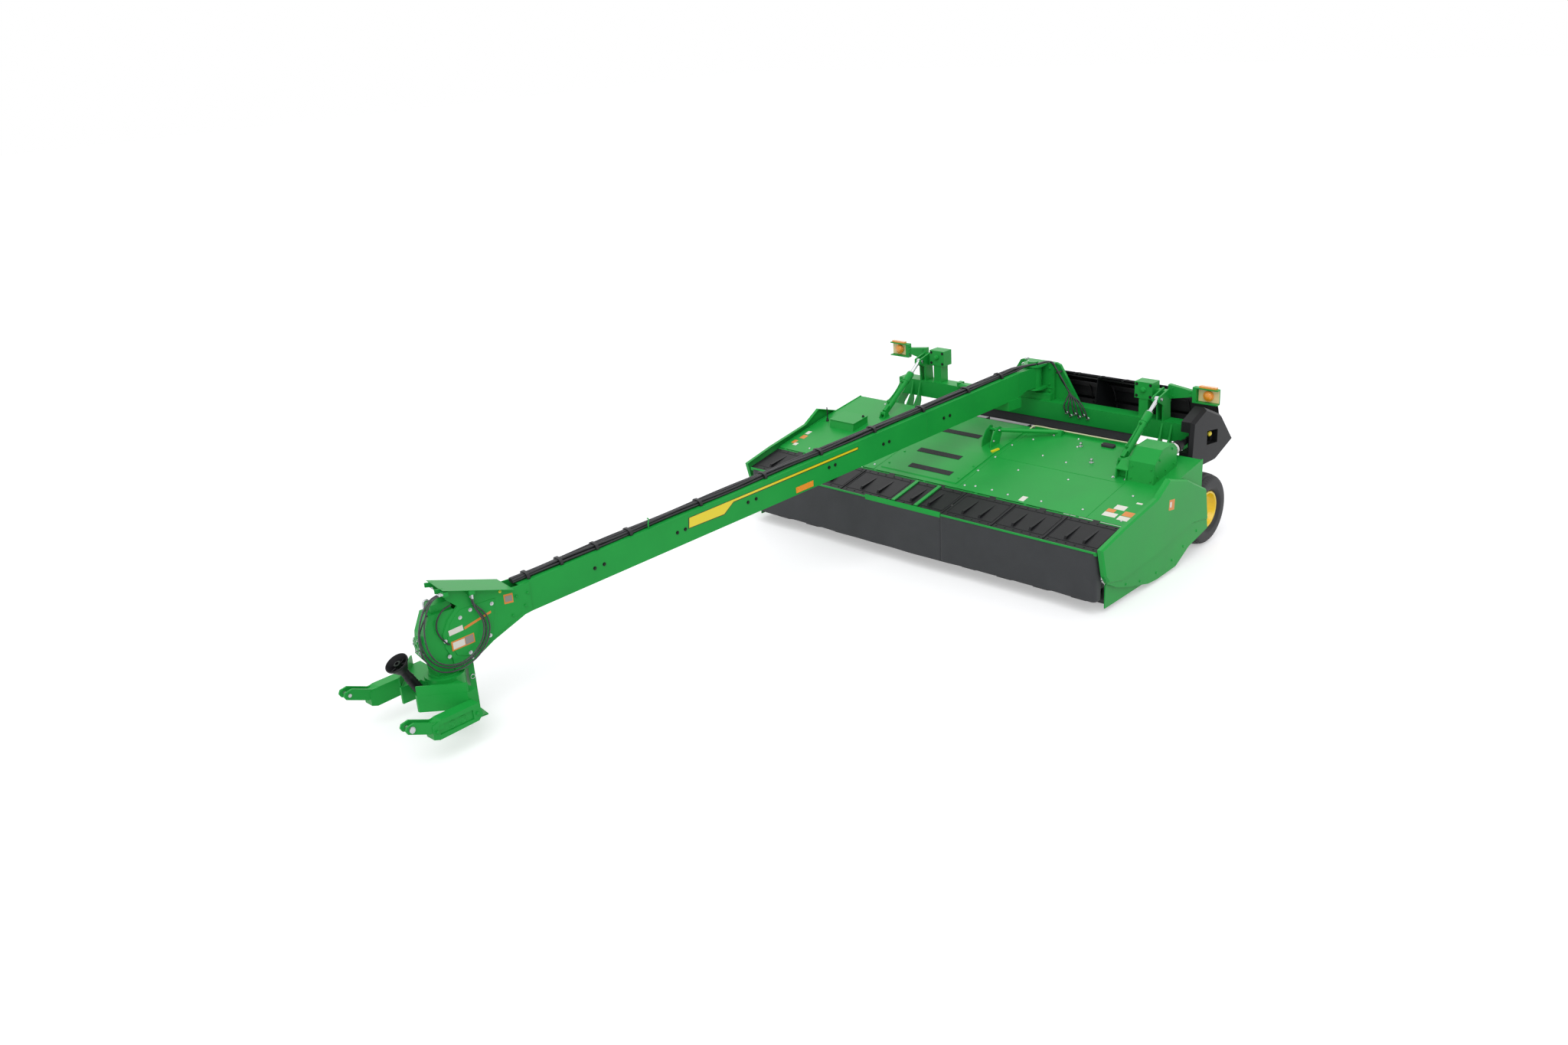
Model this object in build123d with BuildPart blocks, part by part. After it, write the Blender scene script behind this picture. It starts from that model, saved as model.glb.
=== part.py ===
"""A towed centre-pivot mower conditioner, parked on its wheels and stand, its tongue swung to one side.

+X is the machine's left side as its driver sees it, +Y its rear and +Z up, in millimetres. The model is
laid out with Y zero at the front rail and Z zero on the ground, and is moved at the end so that its origin
is under its middle.
"""

import math
import os

from build123d import *

# Clearances
moving_gap = 8
running_gap = 0.06
seat_gap = 0.3

# Platform, across and from front to rear
platform_half = 2580
end_panel_depth = 60
side_plate = 12
side_inner = platform_half - end_panel_depth - side_plate
deck_front = (565, 846)
deck_crease = (1350, 1000)
deck_rear = (2200, 1130)
deck_plate = 6
hinge_y, hinge_z = 538, 836
lid_rod_radius = 9
lid_split = 500
curtain_bottom = 190
curtain_thick = 8

# Cutterbar and conditioner
disc_count = 10
disc_pitch = 482
disc_y, disc_z = 400, 118
knife_radius = 252
roll_half = 1250
roll_radius = 112
roll_gap = 10
lower_roll = (900, 330)

# Carrier frame and wheels
tube_front, tube_depth = 2600, 200
tube_bottom, tube_top = 1140, 1360
tube_half = 2100
tube_wall = 10
wheel_x, wheel_y = 2330, 2490
tyre_radius, tyre_width, rim_radius = 425, 330, 205
spindle_radius = 32
post_x, post_width, post_top = 1520, 230, 1790
lift_x = 1850
lift_y, lift_z = 2450, 950
lift_pin = 25
arm_width = 80

# Lift cylinders
ram_x = 1750
ram_top = (2537, 1643)
ram_foot = (1772, 1112)
ram_radius, ram_rod = 45, 25
ram_pin = 16
ram_ear = 28

# Tongue, laid out straight ahead from its pivot and then swung
pivot_y = 2600
swing_angle = -8.14
hub_radius, hub_low, hub_high = 105, 1530, 1800
pivot_pin = 45
tongue_top, tongue_slope = 1820, 0.085
tongue_width, tongue_height, tongue_wall = 200, 310, 8
swivel_l = 8180
nose_length = 830
tongue_start, tongue_end = 380, swivel_l - nose_length
nose_floor = 545
cheek_thick = 12

# Hitch
hitch_pin_z, hitch_pin_y = 460, -740
hitch_half = 525
link_pin_radius = 18.2
pto_pivot = (-235, 385)
pto_bore = 17.5

# Swing cylinder
swing_foot = (-1100, 2540)
swing_lug_l = 450
swing_z = 1405

pieces = {}


def block(x, y, z):
    """A box between its limits along x, y and z."""
    with BuildPart() as solid:
        with Locations(((x[0] + x[1]) / 2, (y[0] + y[1]) / 2, (z[0] + z[1]) / 2)):
            Box(x[1] - x[0], y[1] - y[0], z[1] - z[0])
    return solid.part


def side_cut(outline, x_from, x_to):
    """A solid with this (y, z) outline seen from the side, between two places across the machine."""
    with BuildPart() as solid:
        with BuildSketch(Plane.YZ.offset(x_from)):
            with BuildLine():
                Polyline(*outline, close=True)
            make_face()
        extrude(amount=x_to - x_from)
    return solid.part


def bar(start, end, radius):
    """A round bar from one point to another."""
    along = Vector(*end) - Vector(*start)
    with BuildPart() as solid:
        with BuildSketch(Plane(origin=start, z_dir=along)):
            Circle(radius)
        extrude(amount=along.length)
    return solid.part


def deck_height(y):
    """The height of the deck's top face this far from the front rail."""
    (front_y, front_z), (crease_y, crease_z), (rear_y, rear_z) = deck_front, deck_crease, deck_rear
    if y > crease_y:
        return crease_z + (rear_z - crease_z) / (rear_y - crease_y) * (y - crease_y)
    return front_z + (crease_z - front_z) / (crease_y - front_y) * (y - front_y)


def both_sides(part):
    """The part and its mirror image on the other side of the machine."""
    return part + mirror(part, about=Plane.YZ)


# Main cross tube of the carrier frame
with BuildPart() as main_tube:
    add(block((-tube_half, tube_half), (tube_front, tube_front + tube_depth), (tube_bottom, tube_top)))
    inner = tube_wall
    add(
        block(
            (-tube_half + inner, tube_half - inner),
            (tube_front + inner, tube_front + tube_depth - inner),
            (tube_bottom + inner, tube_top - inner),
        ),
        mode=Mode.SUBTRACT,
    )
pieces["main_tube"] = main_tube.part

# Pivot tower: a column behind the tongue's hub, with a plate above and below it and side braces
plate_half, plate_thick = 140, 25
tower_front, tower_rear = 2718, 2800
tower_top = hub_high + seat_gap + plate_thick
with BuildPart() as pivot_tower:
    add(block((-230, 230), (tower_front, tower_rear), (tube_top, tower_top)))
    for low in (hub_low - seat_gap - plate_thick, hub_high + seat_gap):
        with BuildSketch(Plane.XY.offset(low)):
            with Locations((0, pivot_y)):
                Circle(plate_half)
            with Locations((0, (pivot_y + tower_front) / 2)):
                Rectangle(2 * plate_half, tower_front - pivot_y)
        extrude(amount=plate_thick)
    add(bar((0, pivot_y, hub_low - seat_gap - plate_thick), (0, pivot_y, tower_top + 30), pivot_pin))
    add(bar((0, pivot_y, tower_top), (0, pivot_y, tower_top + 30), pivot_pin + 20))
    for side in (1, -1):
        with BuildSketch(Plane.XZ.offset(-tower_rear)):
            with BuildLine():
                Polyline(
                    (side * 230, tube_top), (side * 570, tube_top), (side * 290, tower_top - 20),
                    (side * 230, tower_top), close=True,
                )
            make_face()
        extrude(amount=40)
    add(block((-230, 230), (2640, tower_front), (tube_top, hub_low - seat_gap - plate_thick - 60)))
pieces["pivot_tower"] = pivot_tower.part

# Posts with the pins of the lift cylinders, and the tapered arms that reach out to the lamps
post_y = tube_front + 150
head_low = 1590
bracket_low, bracket_high = 1600, 1785
with BuildPart() as one_post:
    pin_y, pin_z = ram_top
    column_half = 60
    add(
        block(
            (post_x - column_half, post_x + column_half), (tube_front + 30, tube_front + 180),
            (tube_top, post_top),
        ),
    )
    add(
        block(
            (post_x - post_width / 2, post_x + post_width / 2), (tube_front + 20, tube_front + 190),
            (head_low, post_top)
        )
    )
    ear = [
        (tube_front + 10, tube_top), (tube_front + 180, tube_top), (tube_front + 150, 1730),
        (pin_y + 10, pin_z + 42),
        (pin_y - 34, pin_z + 30), (pin_y - 40, pin_z - 30), (tube_front, pin_z - 90),
    ]
    ear_thick = 20
    for ear_x in (ram_x - ram_ear - ear_thick, ram_x + ram_ear):
        add(side_cut(ear, ear_x, ear_x + ear_thick))
    cross = (tube_front + 90, tube_front + 180)
    add(block((post_x, ram_x + ram_ear + ear_thick), cross, (1560, 1700)))
    add(bar((ram_x - ram_ear - ear_thick, *ram_top), (ram_x + ram_ear + ear_thick, *ram_top), ram_pin))
    arm_from, arm_to = ram_x + ram_ear, 2090
    with BuildSketch(Plane.XZ.offset(-(post_y + 40))):
        with BuildLine():
            Polyline((arm_from, 1600), (arm_from, 1775), (arm_to, 1735), (arm_to, 1665), close=True)
        make_face()
    extrude(amount=60)
    bracket_to = arm_to + 305
    add(block((arm_to - 5, bracket_to), (post_y - 20, post_y + 50), (bracket_low, bracket_high)))
    pocket = 14
    add(
        block(
            (arm_to + 40, bracket_to + 1), (post_y - 21, post_y + 40),
            (bracket_low + pocket, bracket_high - pocket)
        ),
        mode=Mode.SUBTRACT,
    )
pieces["posts"] = both_sides(one_post.part)

# Lamp lenses: a round one in each bracket and a strip on top
lens_x, lens_radius = arm_to + 175, 50
with BuildPart() as one_lamp:
    add(bar((lens_x, post_y + 12, 1692), (lens_x, post_y + 40, 1692), lens_radius))
    add(
        block((lens_x - 105, lens_x + 105), (post_y - 10, post_y + 40), (bracket_high, bracket_high + 22))
    )
pieces["lamps"] = both_sides(one_lamp.part)

# Wheel legs with their spindles, and the forks that carry the platform's arms
leg_outline = [
    (tube_front - 40, tube_bottom), (tube_front, tube_bottom), (tube_front, tube_top), (2800, tube_top),
    (2800, tube_bottom), (2640, 1000), (wheel_y + 70, 360), (wheel_y - 70, 360), (wheel_y - 80, 900),
]
leg_in, leg_out = tube_half, tube_half + 50
with BuildPart() as one_leg:
    add(side_cut(leg_outline, leg_in, leg_out))
    add(bar((leg_out, wheel_y, tyre_radius), (wheel_x + 20, wheel_y, tyre_radius), spindle_radius))
    fork = [
        (tube_front, tube_top - 20), (tube_front, tube_bottom - 60), (lift_y + 70, lift_z - 90),
        (lift_y - 30, lift_z - 70), (lift_y - 60, lift_z), (lift_y - 20, lift_z + 70),
        (tube_front - 50, tube_bottom + 40),
    ]
    fork_in = lift_x - arm_width / 2 - moving_gap - 25
    fork_out = lift_x + arm_width / 2 + moving_gap
    add(side_cut(fork, fork_in, fork_in + 25))
    add(side_cut(fork, fork_out, fork_out + 25))
    add(bar((fork_in, lift_y, lift_z), (fork_out + 25, lift_y, lift_z), lift_pin))
pieces["wheel_legs"] = both_sides(one_leg.part)

# Black moulded cover of the cross drive, behind the left half, with its ribs and end housing
cover_line = [(2870, 1700), (3060, 1640), (3250, 1440), (3390, 1040), (3300, 900)]
cover_wall = 8
cover_start, cover_end = 60, tube_half + 58
cap_end = cover_end + 152
with BuildPart() as drive_cover:
    with BuildSketch(Plane.YZ.offset(cover_start)) as shell_profile:
        with BuildLine() as shell_line:
            Polyline(*cover_line)
            offset(amount=cover_wall, side=Side.RIGHT)
        make_face()
    extrude(amount=cover_end - cover_start)
    cap = [(2360, 1480), (2660, 1590), (3060, 1410), (3390, 1030), (2940, 870), (2450, 890), (2330, 1040)]
    add(side_cut(cap, cover_end, cap_end - 40))
    cap_middle = (2800, 1220)
    with BuildSketch(Plane.YZ.offset(cap_end - 40)):
        with BuildLine():
            Polyline(*cap, close=True)
        make_face()
    extrude(amount=40, taper=38)
    recess = [(2700, 1130), (2700, 1300), (2960, 1260), (2960, 1100)]
    add(side_cut(recess, cap_end - 60, cap_end + 1), mode=Mode.SUBTRACT)
    add(block((cover_end - 5, cap_end - 48), (2300, 2900), (1120, 1360)), mode=Mode.SUBTRACT)
    rib = [(tube_front + tube_depth, tube_top - 20), (2870, 1690), (3050, 1630), (3240, 1430), (3378, 1040),
           (3300, 915), (tube_front + tube_depth, tube_bottom + 20)]
    rib_count = 3
    for index in range(rib_count):
        rib_x = cover_start + index * (cover_end - cover_start) / rib_count
        add(side_cut(rib, rib_x, rib_x + 6))
    for low_y, low_z, high_y, high_z in (
        (2900, 1678, 2920, 1660), (3130, 1548, 3150, 1526), (3300, 1275, 3308, 1250)
    ):
        stiffener = [
            (low_y, low_z), (high_y, high_z), (high_y - 24, high_z - 10), (low_y - 24, low_z - 10)
        ]
        add(side_cut(stiffener, cover_start, cover_end))
pieces["drive_cover"] = drive_cover.part

# Cutterbar with its skid shoes
bar_half = side_inner
hub_radius_low, disc_height = 45, 16
with BuildPart() as cutterbar:
    add(block((-bar_half, bar_half), (250, 560), (60, 105)))
    for index in range(disc_count):
        centre = (index - (disc_count - 1) / 2) * disc_pitch
        shoe = [
            (180, 95), (250, 105), (250, 60), (620, 60), (640, 70), (640, 30), (600, 20), (300, 20),
            (200, 60),
        ]
        add(side_cut(shoe, centre - 90, centre + 90))
        add(bar((centre, disc_y, 105), (centre, disc_y, disc_z - seat_gap), hub_radius_low))
pieces["cutterbar"] = cutterbar.part

# Discs: an oval plate with two knives and a raised cap, every second one a quarter turn on
oval = [(190, 45), (150, 105), (60, 140), (-60, 140), (-150, 105), (-190, 45), (-190, -45), (-150, -105), (-60, -140),
        (60, -140), (150, -105), (190, -45)]
for index in range(disc_count):
    centre = (index - (disc_count - 1) / 2) * disc_pitch
    with BuildPart() as disc:
        with BuildSketch(Plane.XY.offset(disc_z)):
            with Locations(Location((centre, disc_y, 0), (0, 0, 90 * (index % 2)))):
                Polygon(*oval, align=None)
        extrude(amount=disc_height)
        with BuildSketch(Plane.XY.offset(disc_z)):
            with Locations((centre, disc_y)):
                Rectangle(2 * knife_radius, 46, rotation=90 * (index % 2))
        extrude(amount=5)
        with BuildSketch(Plane.XY.offset(disc_z + disc_height)):
            with Locations((centre, disc_y)):
                Circle(62)
        extrude(amount=36, taper=30)
    pieces[f"disc_{index + 1:02d}"] = disc.part

# Side plates that close the platform, the header beam between them and the arms back to the lift hinge
side_outline = [
    (150, 60), (1050, 60), (1800, 180), (2200, 350), (2200, 900), (2205, 1138), (1350, 1008), (568, 854),
    (568, 800), (300, 420), (150, 330),
]
beam_y, beam_z = (1300, 1440), (800, 940)
with BuildPart() as header_frame:
    add(side_cut(side_outline, side_inner, side_inner + side_plate))
    arm = [(beam_y[1], beam_z[0]), (2380, lift_z - 60), (lift_y, lift_z - 65), (lift_y + 60, lift_z), (lift_y, lift_z + 65),
           (2380, lift_z + 60), (beam_y[1], beam_z[1])]
    add(side_cut(arm, lift_x - arm_width / 2, lift_x + arm_width / 2))
    mirror(about=Plane.YZ)
    add(block((-side_inner, side_inner), beam_y, beam_z))
    add(
        block((-side_inner, side_inner), (beam_y[0] + 8, beam_y[1] - 8), (beam_z[0] + 8, beam_z[1] - 8)),
        mode=Mode.SUBTRACT,
    )
    hole = lift_pin + running_gap
    for side in (1, -1):
        add(
            bar(
                (side * (lift_x - arm_width), lift_y, lift_z),
                (side * (lift_x + arm_width), lift_y, lift_z), hole,
            ),
            mode=Mode.SUBTRACT,
        )
pieces["header_frame"] = header_frame.part

# End panels: pressed trays with a rim all round, a bent lower skirt and a stiffening fold
panel_outline = [
    (-33, 790), (420, 892), (1090, 1012), (1350, 1160), (1770, 1030), (2220, 790), (2310, 285),
    (1880, 200),
    (1590, 57), (1175, 44), (980, 60), (545, 180), (307, 260), (126, 360), (50, 470),
]
fold_depth = 18
with BuildPart() as one_panel:
    add(side_cut(panel_outline, platform_half - end_panel_depth, platform_half - fold_depth))
    with BuildSketch(Plane.YZ.offset(platform_half - end_panel_depth)):
        with BuildLine():
            Polyline(*panel_outline, close=True)
        make_face()
        offset(amount=-8, kind=Kind.INTERSECTION)
    extrude(amount=end_panel_depth - fold_depth - 8, mode=Mode.SUBTRACT)
    upper = [
        (-33, 790), (420, 892), (1090, 1012), (1350, 1160), (1770, 1030), (2220, 790), (2290, 400),
        (1920, 460),
        (1100, 345), (400, 300), (126, 370), (50, 470),
    ]
    with BuildSketch(Plane.YZ.offset(platform_half - fold_depth)):
        with BuildLine():
            Polyline(*upper, close=True)
        make_face()
        offset(amount=-2, kind=Kind.INTERSECTION)
    extrude(amount=fold_depth, taper=45)
pieces["end_panels"] = both_sides(one_panel.part)

# Lids and their places: each lid hangs on knuckles, with the deck's rod tabs between them
knuckle_half = 40
lid_gap = 5
lids = [
    # name, x from, x to, panels
    ("left", lid_split + lid_gap, side_inner - 2 * lid_gap, 3),
    ("right", -side_inner + 2 * lid_gap, lid_split - lid_gap, 4),
]


def along_lid(lid_from, lid_to, count, share):
    """Evenly spaced places across a lid, each this share of a space from the left of its space."""
    space = (lid_to - lid_from) / count
    return [lid_from + space * (index + share) for index in range(count)]


# Deck with the hinge rod of the front lids along its front edge and a raised panel over the conditioner drive
raised_from, raised_to, raised_thick = -880, 240, 10
with BuildPart() as deck:
    (front_y, front_z), (crease_y, crease_z), (rear_y, rear_z) = deck_front, deck_crease, deck_rear
    deck_outline = [
        deck_front, deck_crease, deck_rear, (rear_y, rear_z - deck_plate),
        (crease_y, crease_z - deck_plate),
        (front_y, front_z - deck_plate),
    ]
    add(side_cut(deck_outline, -side_inner, side_inner))
    raised = [
        (front_y + 60, deck_height(front_y + 60) - 1),
        (front_y + 80, deck_height(front_y + 80) + raised_thick),
        (crease_y, crease_z + raised_thick), (rear_y, rear_z + raised_thick), (rear_y, rear_z - 1),
        (crease_y, crease_z - 1),
    ]
    add(side_cut(raised, raised_from, raised_to))
    add(
        side_cut(
            [(rear_y - 4, rear_z), (rear_y, rear_z), (rear_y, rear_z + 28), (rear_y - 4, rear_z + 28)],
            300, 1780,
        ),
    )
    add(bar((-side_inner, hinge_y, hinge_z), (side_inner, hinge_y, hinge_z), lid_rod_radius))
    for name, lid_from, lid_to, panels in lids:
        for tab_x in along_lid(lid_from, lid_to, panels, 0.12):
            add(block((tab_x - 15, tab_x + 15), (hinge_y, front_y + 10), (front_z - 14, front_z - 5)))
pieces["deck"] = deck.part

# Anti-slip strips on the deck
strips = [
    # y, x from, x to
    (1720, -820, -180),
    (1160, -700, -70),
    (800, -560, 60),
]
strip_half, strip_thick = 45, 4
with BuildPart() as tread_strips:
    for strip_y, strip_from, strip_to in strips:
        low = deck_height(strip_y - strip_half) + raised_thick
        high = deck_height(strip_y + strip_half) + raised_thick
        outline = [
            (strip_y - strip_half, low), (strip_y + strip_half, high),
            (strip_y + strip_half, high + strip_thick),
            (strip_y - strip_half, low + strip_thick),
        ]
        add(side_cut(outline, strip_from, strip_to))
pieces["tread_strips"] = tread_strips.part

# Lids: front rail, black shield with divided, ribbed panels, and rubber curtain, one on each side of the split
knuckle = lid_rod_radius + running_gap
shield_front, shield_rear = (4, 742), (516, 843)
shield_sheet = 5
rib_front, rib_rear, rib_height, rib_half = 95, 400, 30, 14


def shield_height(y):
    """The height of the shield's top face this far from the front rail."""
    (near_y, near_z), (far_y, far_z) = shield_front, shield_rear
    return near_z + (far_z - near_z) / (far_y - near_y) * (y - near_y)


for name, lid_from, lid_to, panels in lids:
    with BuildPart() as rail:
        add(block((lid_from, lid_to), (0, 40), (700, 740)))
        add(block((lid_from + 4, lid_to - 4), (4, 36), (704, 736)), mode=Mode.SUBTRACT)
    pieces[f"rail_{name}"] = rail.part
    with BuildPart() as shield:
        (near_y, near_z), (far_y, far_z) = shield_front, shield_rear
        sheet = [
            shield_front, shield_rear, (far_y, far_z - shield_sheet), (40, near_z + 2), (40, 740),
            (4, 740),
        ]
        add(side_cut(sheet, lid_from, lid_to))
        for place in along_lid(lid_from, lid_to, panels, 0.5):
            bearing = [(hinge_y - 17, hinge_z - 14), (far_y - 6, far_z - 6), (far_y, far_z), (hinge_y + 15, hinge_z + 15),
                       (hinge_y + 15, hinge_z - 14)]
            add(side_cut(bearing, place - knuckle_half, place + knuckle_half))
            bore_from = (place - knuckle_half - 1, hinge_y, hinge_z)
            add(bar(bore_from, (place + knuckle_half + 1, hinge_y, hinge_z), knuckle), mode=Mode.SUBTRACT)
        for share in (0.33, 0.67):
            for place in along_lid(lid_from, lid_to, panels, share):
                fin = [
                    (rib_front, shield_height(rib_front) - 1),
                    (rib_front + 25, shield_height(rib_front) + rib_height),
                    (rib_rear, shield_height(rib_rear) + 1), (rib_rear, shield_height(rib_rear) - 1),
                ]
                add(side_cut(fin, place - rib_half, place + rib_half))
        for place in along_lid(lid_from, lid_to, panels, 0)[1:]:
            edge = [(20, shield_height(20) - 1), (20, shield_height(20) + 8), (495, shield_height(495) + 8),
                    (495, shield_height(495) - 1)]
            add(side_cut(edge, place - 8, place + 8))
    pieces[f"shield_{name}"] = shield.part
    with BuildPart() as curtain:
        add(block((lid_from, lid_to), (-curtain_thick, 0), (curtain_bottom, 732)))
    pieces[f"curtain_{name}"] = curtain.part

# Conditioner: side plates carry two grooved rolls
plate_x = roll_half + 20
upper_roll = (lower_roll[0] + 90, lower_roll[1] + math.sqrt((2 * roll_radius + roll_gap) ** 2 - 90**2))
journal = 30
with BuildPart() as conditioner_frame:
    cheek = [
        (700, 105), (1150, 105), (1300, 500), (1300, 880), (1200, 880), (1180, 800), (760, 800),
        (700, 500),
    ]
    add(side_cut(cheek, plate_x, plate_x + 10))
    mirror(about=Plane.YZ)
    add(block((-plate_x, plate_x), (760, 860), (780, 800)))
    add(block((-plate_x - 10, plate_x + 10), (560, 700), (75, 90)))
    for roll_y, roll_z in (lower_roll, upper_roll):
        for side in (1, -1):
            add(
                bar(
                    (side * (plate_x - 1), roll_y, roll_z), (side * (plate_x + 11), roll_y, roll_z),
                    journal + running_gap,
                ),
                mode=Mode.SUBTRACT,
            )
pieces["conditioner_frame"] = conditioner_frame.part
for name, (roll_y, roll_z) in (("lower_roll", lower_roll), ("upper_roll", upper_roll)):
    with BuildPart() as roll:
        with BuildSketch(Plane.YZ.offset(-roll_half)):
            with Locations((roll_y, roll_z)):
                Circle(roll_radius)
                with PolarLocations(roll_radius, 10):
                    Rectangle(24, 34, mode=Mode.SUBTRACT)
        extrude(amount=2 * roll_half)
        add(bar((-plate_x - 30, roll_y, roll_z), (plate_x + 30, roll_y, roll_z), journal))
    pieces[name] = roll.part

# Forming shields behind the rolls, with the ears that carry the swath board
board_y, board_z, board_shaft = 1530, 845, 12
board_half = plate_x - 420
with BuildPart() as forming_shields:
    with BuildSketch(Plane.XY.offset(430)):
        with BuildLine():
            Polyline((plate_x, 1450), (plate_x + 5, 1450), (905, 2300), (900, 2300), close=True)
        make_face()
    extrude(amount=400)
    mirror(about=Plane.YZ)
    add(block((-plate_x, plate_x), (1445, 1450), (430, 800)), mode=Mode.SUBTRACT)
    add(block((-plate_x - 10, plate_x + 10), (beam_y[1], beam_y[1] + 60), (830, 850)))
    ear_at = plate_x - 90
    for side in (1, -1):
        add(block(sorted((side * (plate_x - 60), side * (plate_x + 5))), (beam_y[1], 1510), (800, 850)))
        add(
            block(
                sorted((side * ear_at, side * (ear_at + 12))), (beam_y[1], board_y + 30),
                (board_z - 30, board_z + 30),
            ),
        )
    board_bore = board_shaft + running_gap
    add(
        bar((-ear_at - 13, board_y, board_z), (ear_at + 13, board_y, board_z), board_bore),
        mode=Mode.SUBTRACT,
    )
pieces["forming_shields"] = forming_shields.part

# Hood: the black sheet that closes the conditioner behind the deck and roofs the swath
hood_line = [(beam_y[1], 912), (rear_y - 160, 1000), (2560, 1010), (2960, 900)]
with BuildPart() as rear_hood:
    with BuildSketch(Plane.YZ.offset(-plate_x)):
        with BuildLine():
            Polyline(*hood_line)
            offset(amount=5, side=Side.RIGHT)
        make_face()
    extrude(amount=2 * plate_x)
    for hood_rib in (-plate_x, -plate_x / 2, 0, plate_x / 2, plate_x - 6):
        hood_edge = [(2080, 998), (2560, 1008), (2560, 1043), (2080, 1043)]
        add(side_cut(hood_edge, hood_rib, hood_rib + 6))
pieces["rear_hood"] = rear_hood.part

# Swath board, hung on the forming shields' ears
with BuildPart() as swath_board:
    board = [
        (board_y, board_z - 2), (board_y, board_z + 2), (board_y + 500, board_z - 140),
        (board_y + 500, board_z - 144),
    ]
    add(side_cut(board, -board_half, board_half))
    add(bar((-ear_at - 25, board_y, board_z), (ear_at + 25, board_y, board_z), board_shaft))
pieces["swath_board"] = swath_board.part

# Gearbox housing on the left end of the deck: a folded box, a bolted bracket beside it and the shaft's ears
shaft_x, shaft_y, shaft_z = 2200, 2045, 1220
box_from, box_to = 2010, 2330
with BuildPart() as header_gearbox:
    housing = [
        (1440, deck_height(1440)), (1950, deck_height(1950)), (1950, 1310), (1860, 1385), (1620, 1370),
        (1470, 1240),
    ]
    add(side_cut(housing, box_from, box_to))
    bracket = [
        (1420, deck_height(1420)), (1800, deck_height(1800)), (1800, 1180), (1560, 1200), (1440, 1130)
    ]
    for plate_at in (box_from - 150, box_from - 20):
        add(side_cut(bracket, plate_at, plate_at + 14))
    bracket_top = [(1440, 1118), (1440, 1130), (1560, 1200), (1800, 1180), (1800, 1168), (1562, 1187)]
    add(side_cut(bracket_top, box_from - 150, box_from))
    for shelf_y in (1500, 1640):
        shelf = (deck_height(shelf_y + 12), 1190 - (1640 - shelf_y) * 0.3)
        add(block((box_from - 150, box_from), (shelf_y, shelf_y + 12), shelf))
    for side in (1, -1):
        ear_x = shaft_x + side * 34
        add(block((ear_x - 7, ear_x + 7), (1950, shaft_y + 20), (shaft_z - 22, shaft_z + 22)))
    add(bar((shaft_x - 41, shaft_y, shaft_z), (shaft_x + 41, shaft_y, shaft_z), 9))
pieces["header_gearbox"] = header_gearbox.part

# Raised box at the deck's right end, the lugs that the lift cylinders push on, and the leaf-shaped steady
ram_foot_y, ram_foot_z = ram_foot
steady_x, steady_y = 60, 1620
with BuildPart() as deck_lugs:
    lug = [
        (ram_foot_y - 60, deck_height(ram_foot_y - 60)), (ram_foot_y + 60, deck_height(ram_foot_y + 60)),
        (ram_foot_y + 22, ram_foot_z + 24), (ram_foot_y - 22, ram_foot_z + 24),
    ]
    lug_out = ram_ear + 12
    add(side_cut(lug, ram_x - lug_out, ram_x - ram_ear))
    add(side_cut(lug, ram_x + ram_ear, ram_x + lug_out))
    add(
        bar((ram_x - lug_out, ram_foot_y, ram_foot_z), (ram_x + lug_out, ram_foot_y, ram_foot_z), ram_pin)
    )
    mirror(about=Plane.YZ)
    raised_box = [
        (1250, deck_height(1250)), (crease_y, crease_z), (1550, deck_height(1550)), (1550, 1110),
        (1270, 1080),
    ]
    add(side_cut(raised_box, -2250, -1850))
    steady_low = deck_height(steady_y) + raised_thick
    for leaf_x in (steady_x - 70, steady_x + 58):
        leaf = [
            (steady_y - 120, deck_height(steady_y - 120) + raised_thick),
            (steady_y - 110, steady_low + 60),
            (steady_y - 30, steady_low + 170), (steady_y + 60, steady_low + 215),
            (steady_y + 105, steady_low + 200),
            (steady_y + 110, steady_low + 120),
            (steady_y + 60, deck_height(steady_y + 60) + raised_thick),
        ]
        add(side_cut(leaf, leaf_x, leaf_x + 12))
    steady_top = (steady_y + 60, steady_low + 165)
    add(bar((steady_x - 70, *steady_top), (steady_x + 70, *steady_top), 18))
    steady_end = (steady_x + 620, rear_y - 40, deck_height(rear_y - 40) + 35)
    add(bar((steady_x, *steady_top), steady_end, 26))
    foot = [
        (rear_y - 90, deck_height(rear_y - 90)), (rear_y - 10, deck_height(rear_y - 10)),
        (rear_y - 20, steady_end[2] + 20),
        (rear_y - 70, steady_end[2] + 20),
    ]
    add(side_cut(foot, steady_end[0] - 40, steady_end[0] + 40))
pieces["deck_lugs"] = deck_lugs.part

# Drive shaft guard between the header gearbox and the black cover, hung on the gearbox's input
shaft_end = (shaft_x, tube_front, shaft_z + 30)
with BuildPart() as header_shaft:
    add(bar((shaft_x, shaft_y + 45, shaft_z + 2), shaft_end, 32))
    with BuildSketch(Plane(origin=(shaft_x, shaft_y + 45, shaft_z + 3), z_dir=(0, 1, 0.054))):
        Circle(58)
    extrude(amount=120, taper=8)
    add(block((shaft_x - 25, shaft_x + 25), (shaft_y - 20, shaft_y + 60), (shaft_z - 20, shaft_z + 20)))
    shaft_hole = 9 + running_gap
    add(
        bar((shaft_x - 60, shaft_y, shaft_z), (shaft_x + 60, shaft_y, shaft_z), shaft_hole),
        mode=Mode.SUBTRACT,
    )
pieces["header_shaft"] = header_shaft.part

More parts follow.
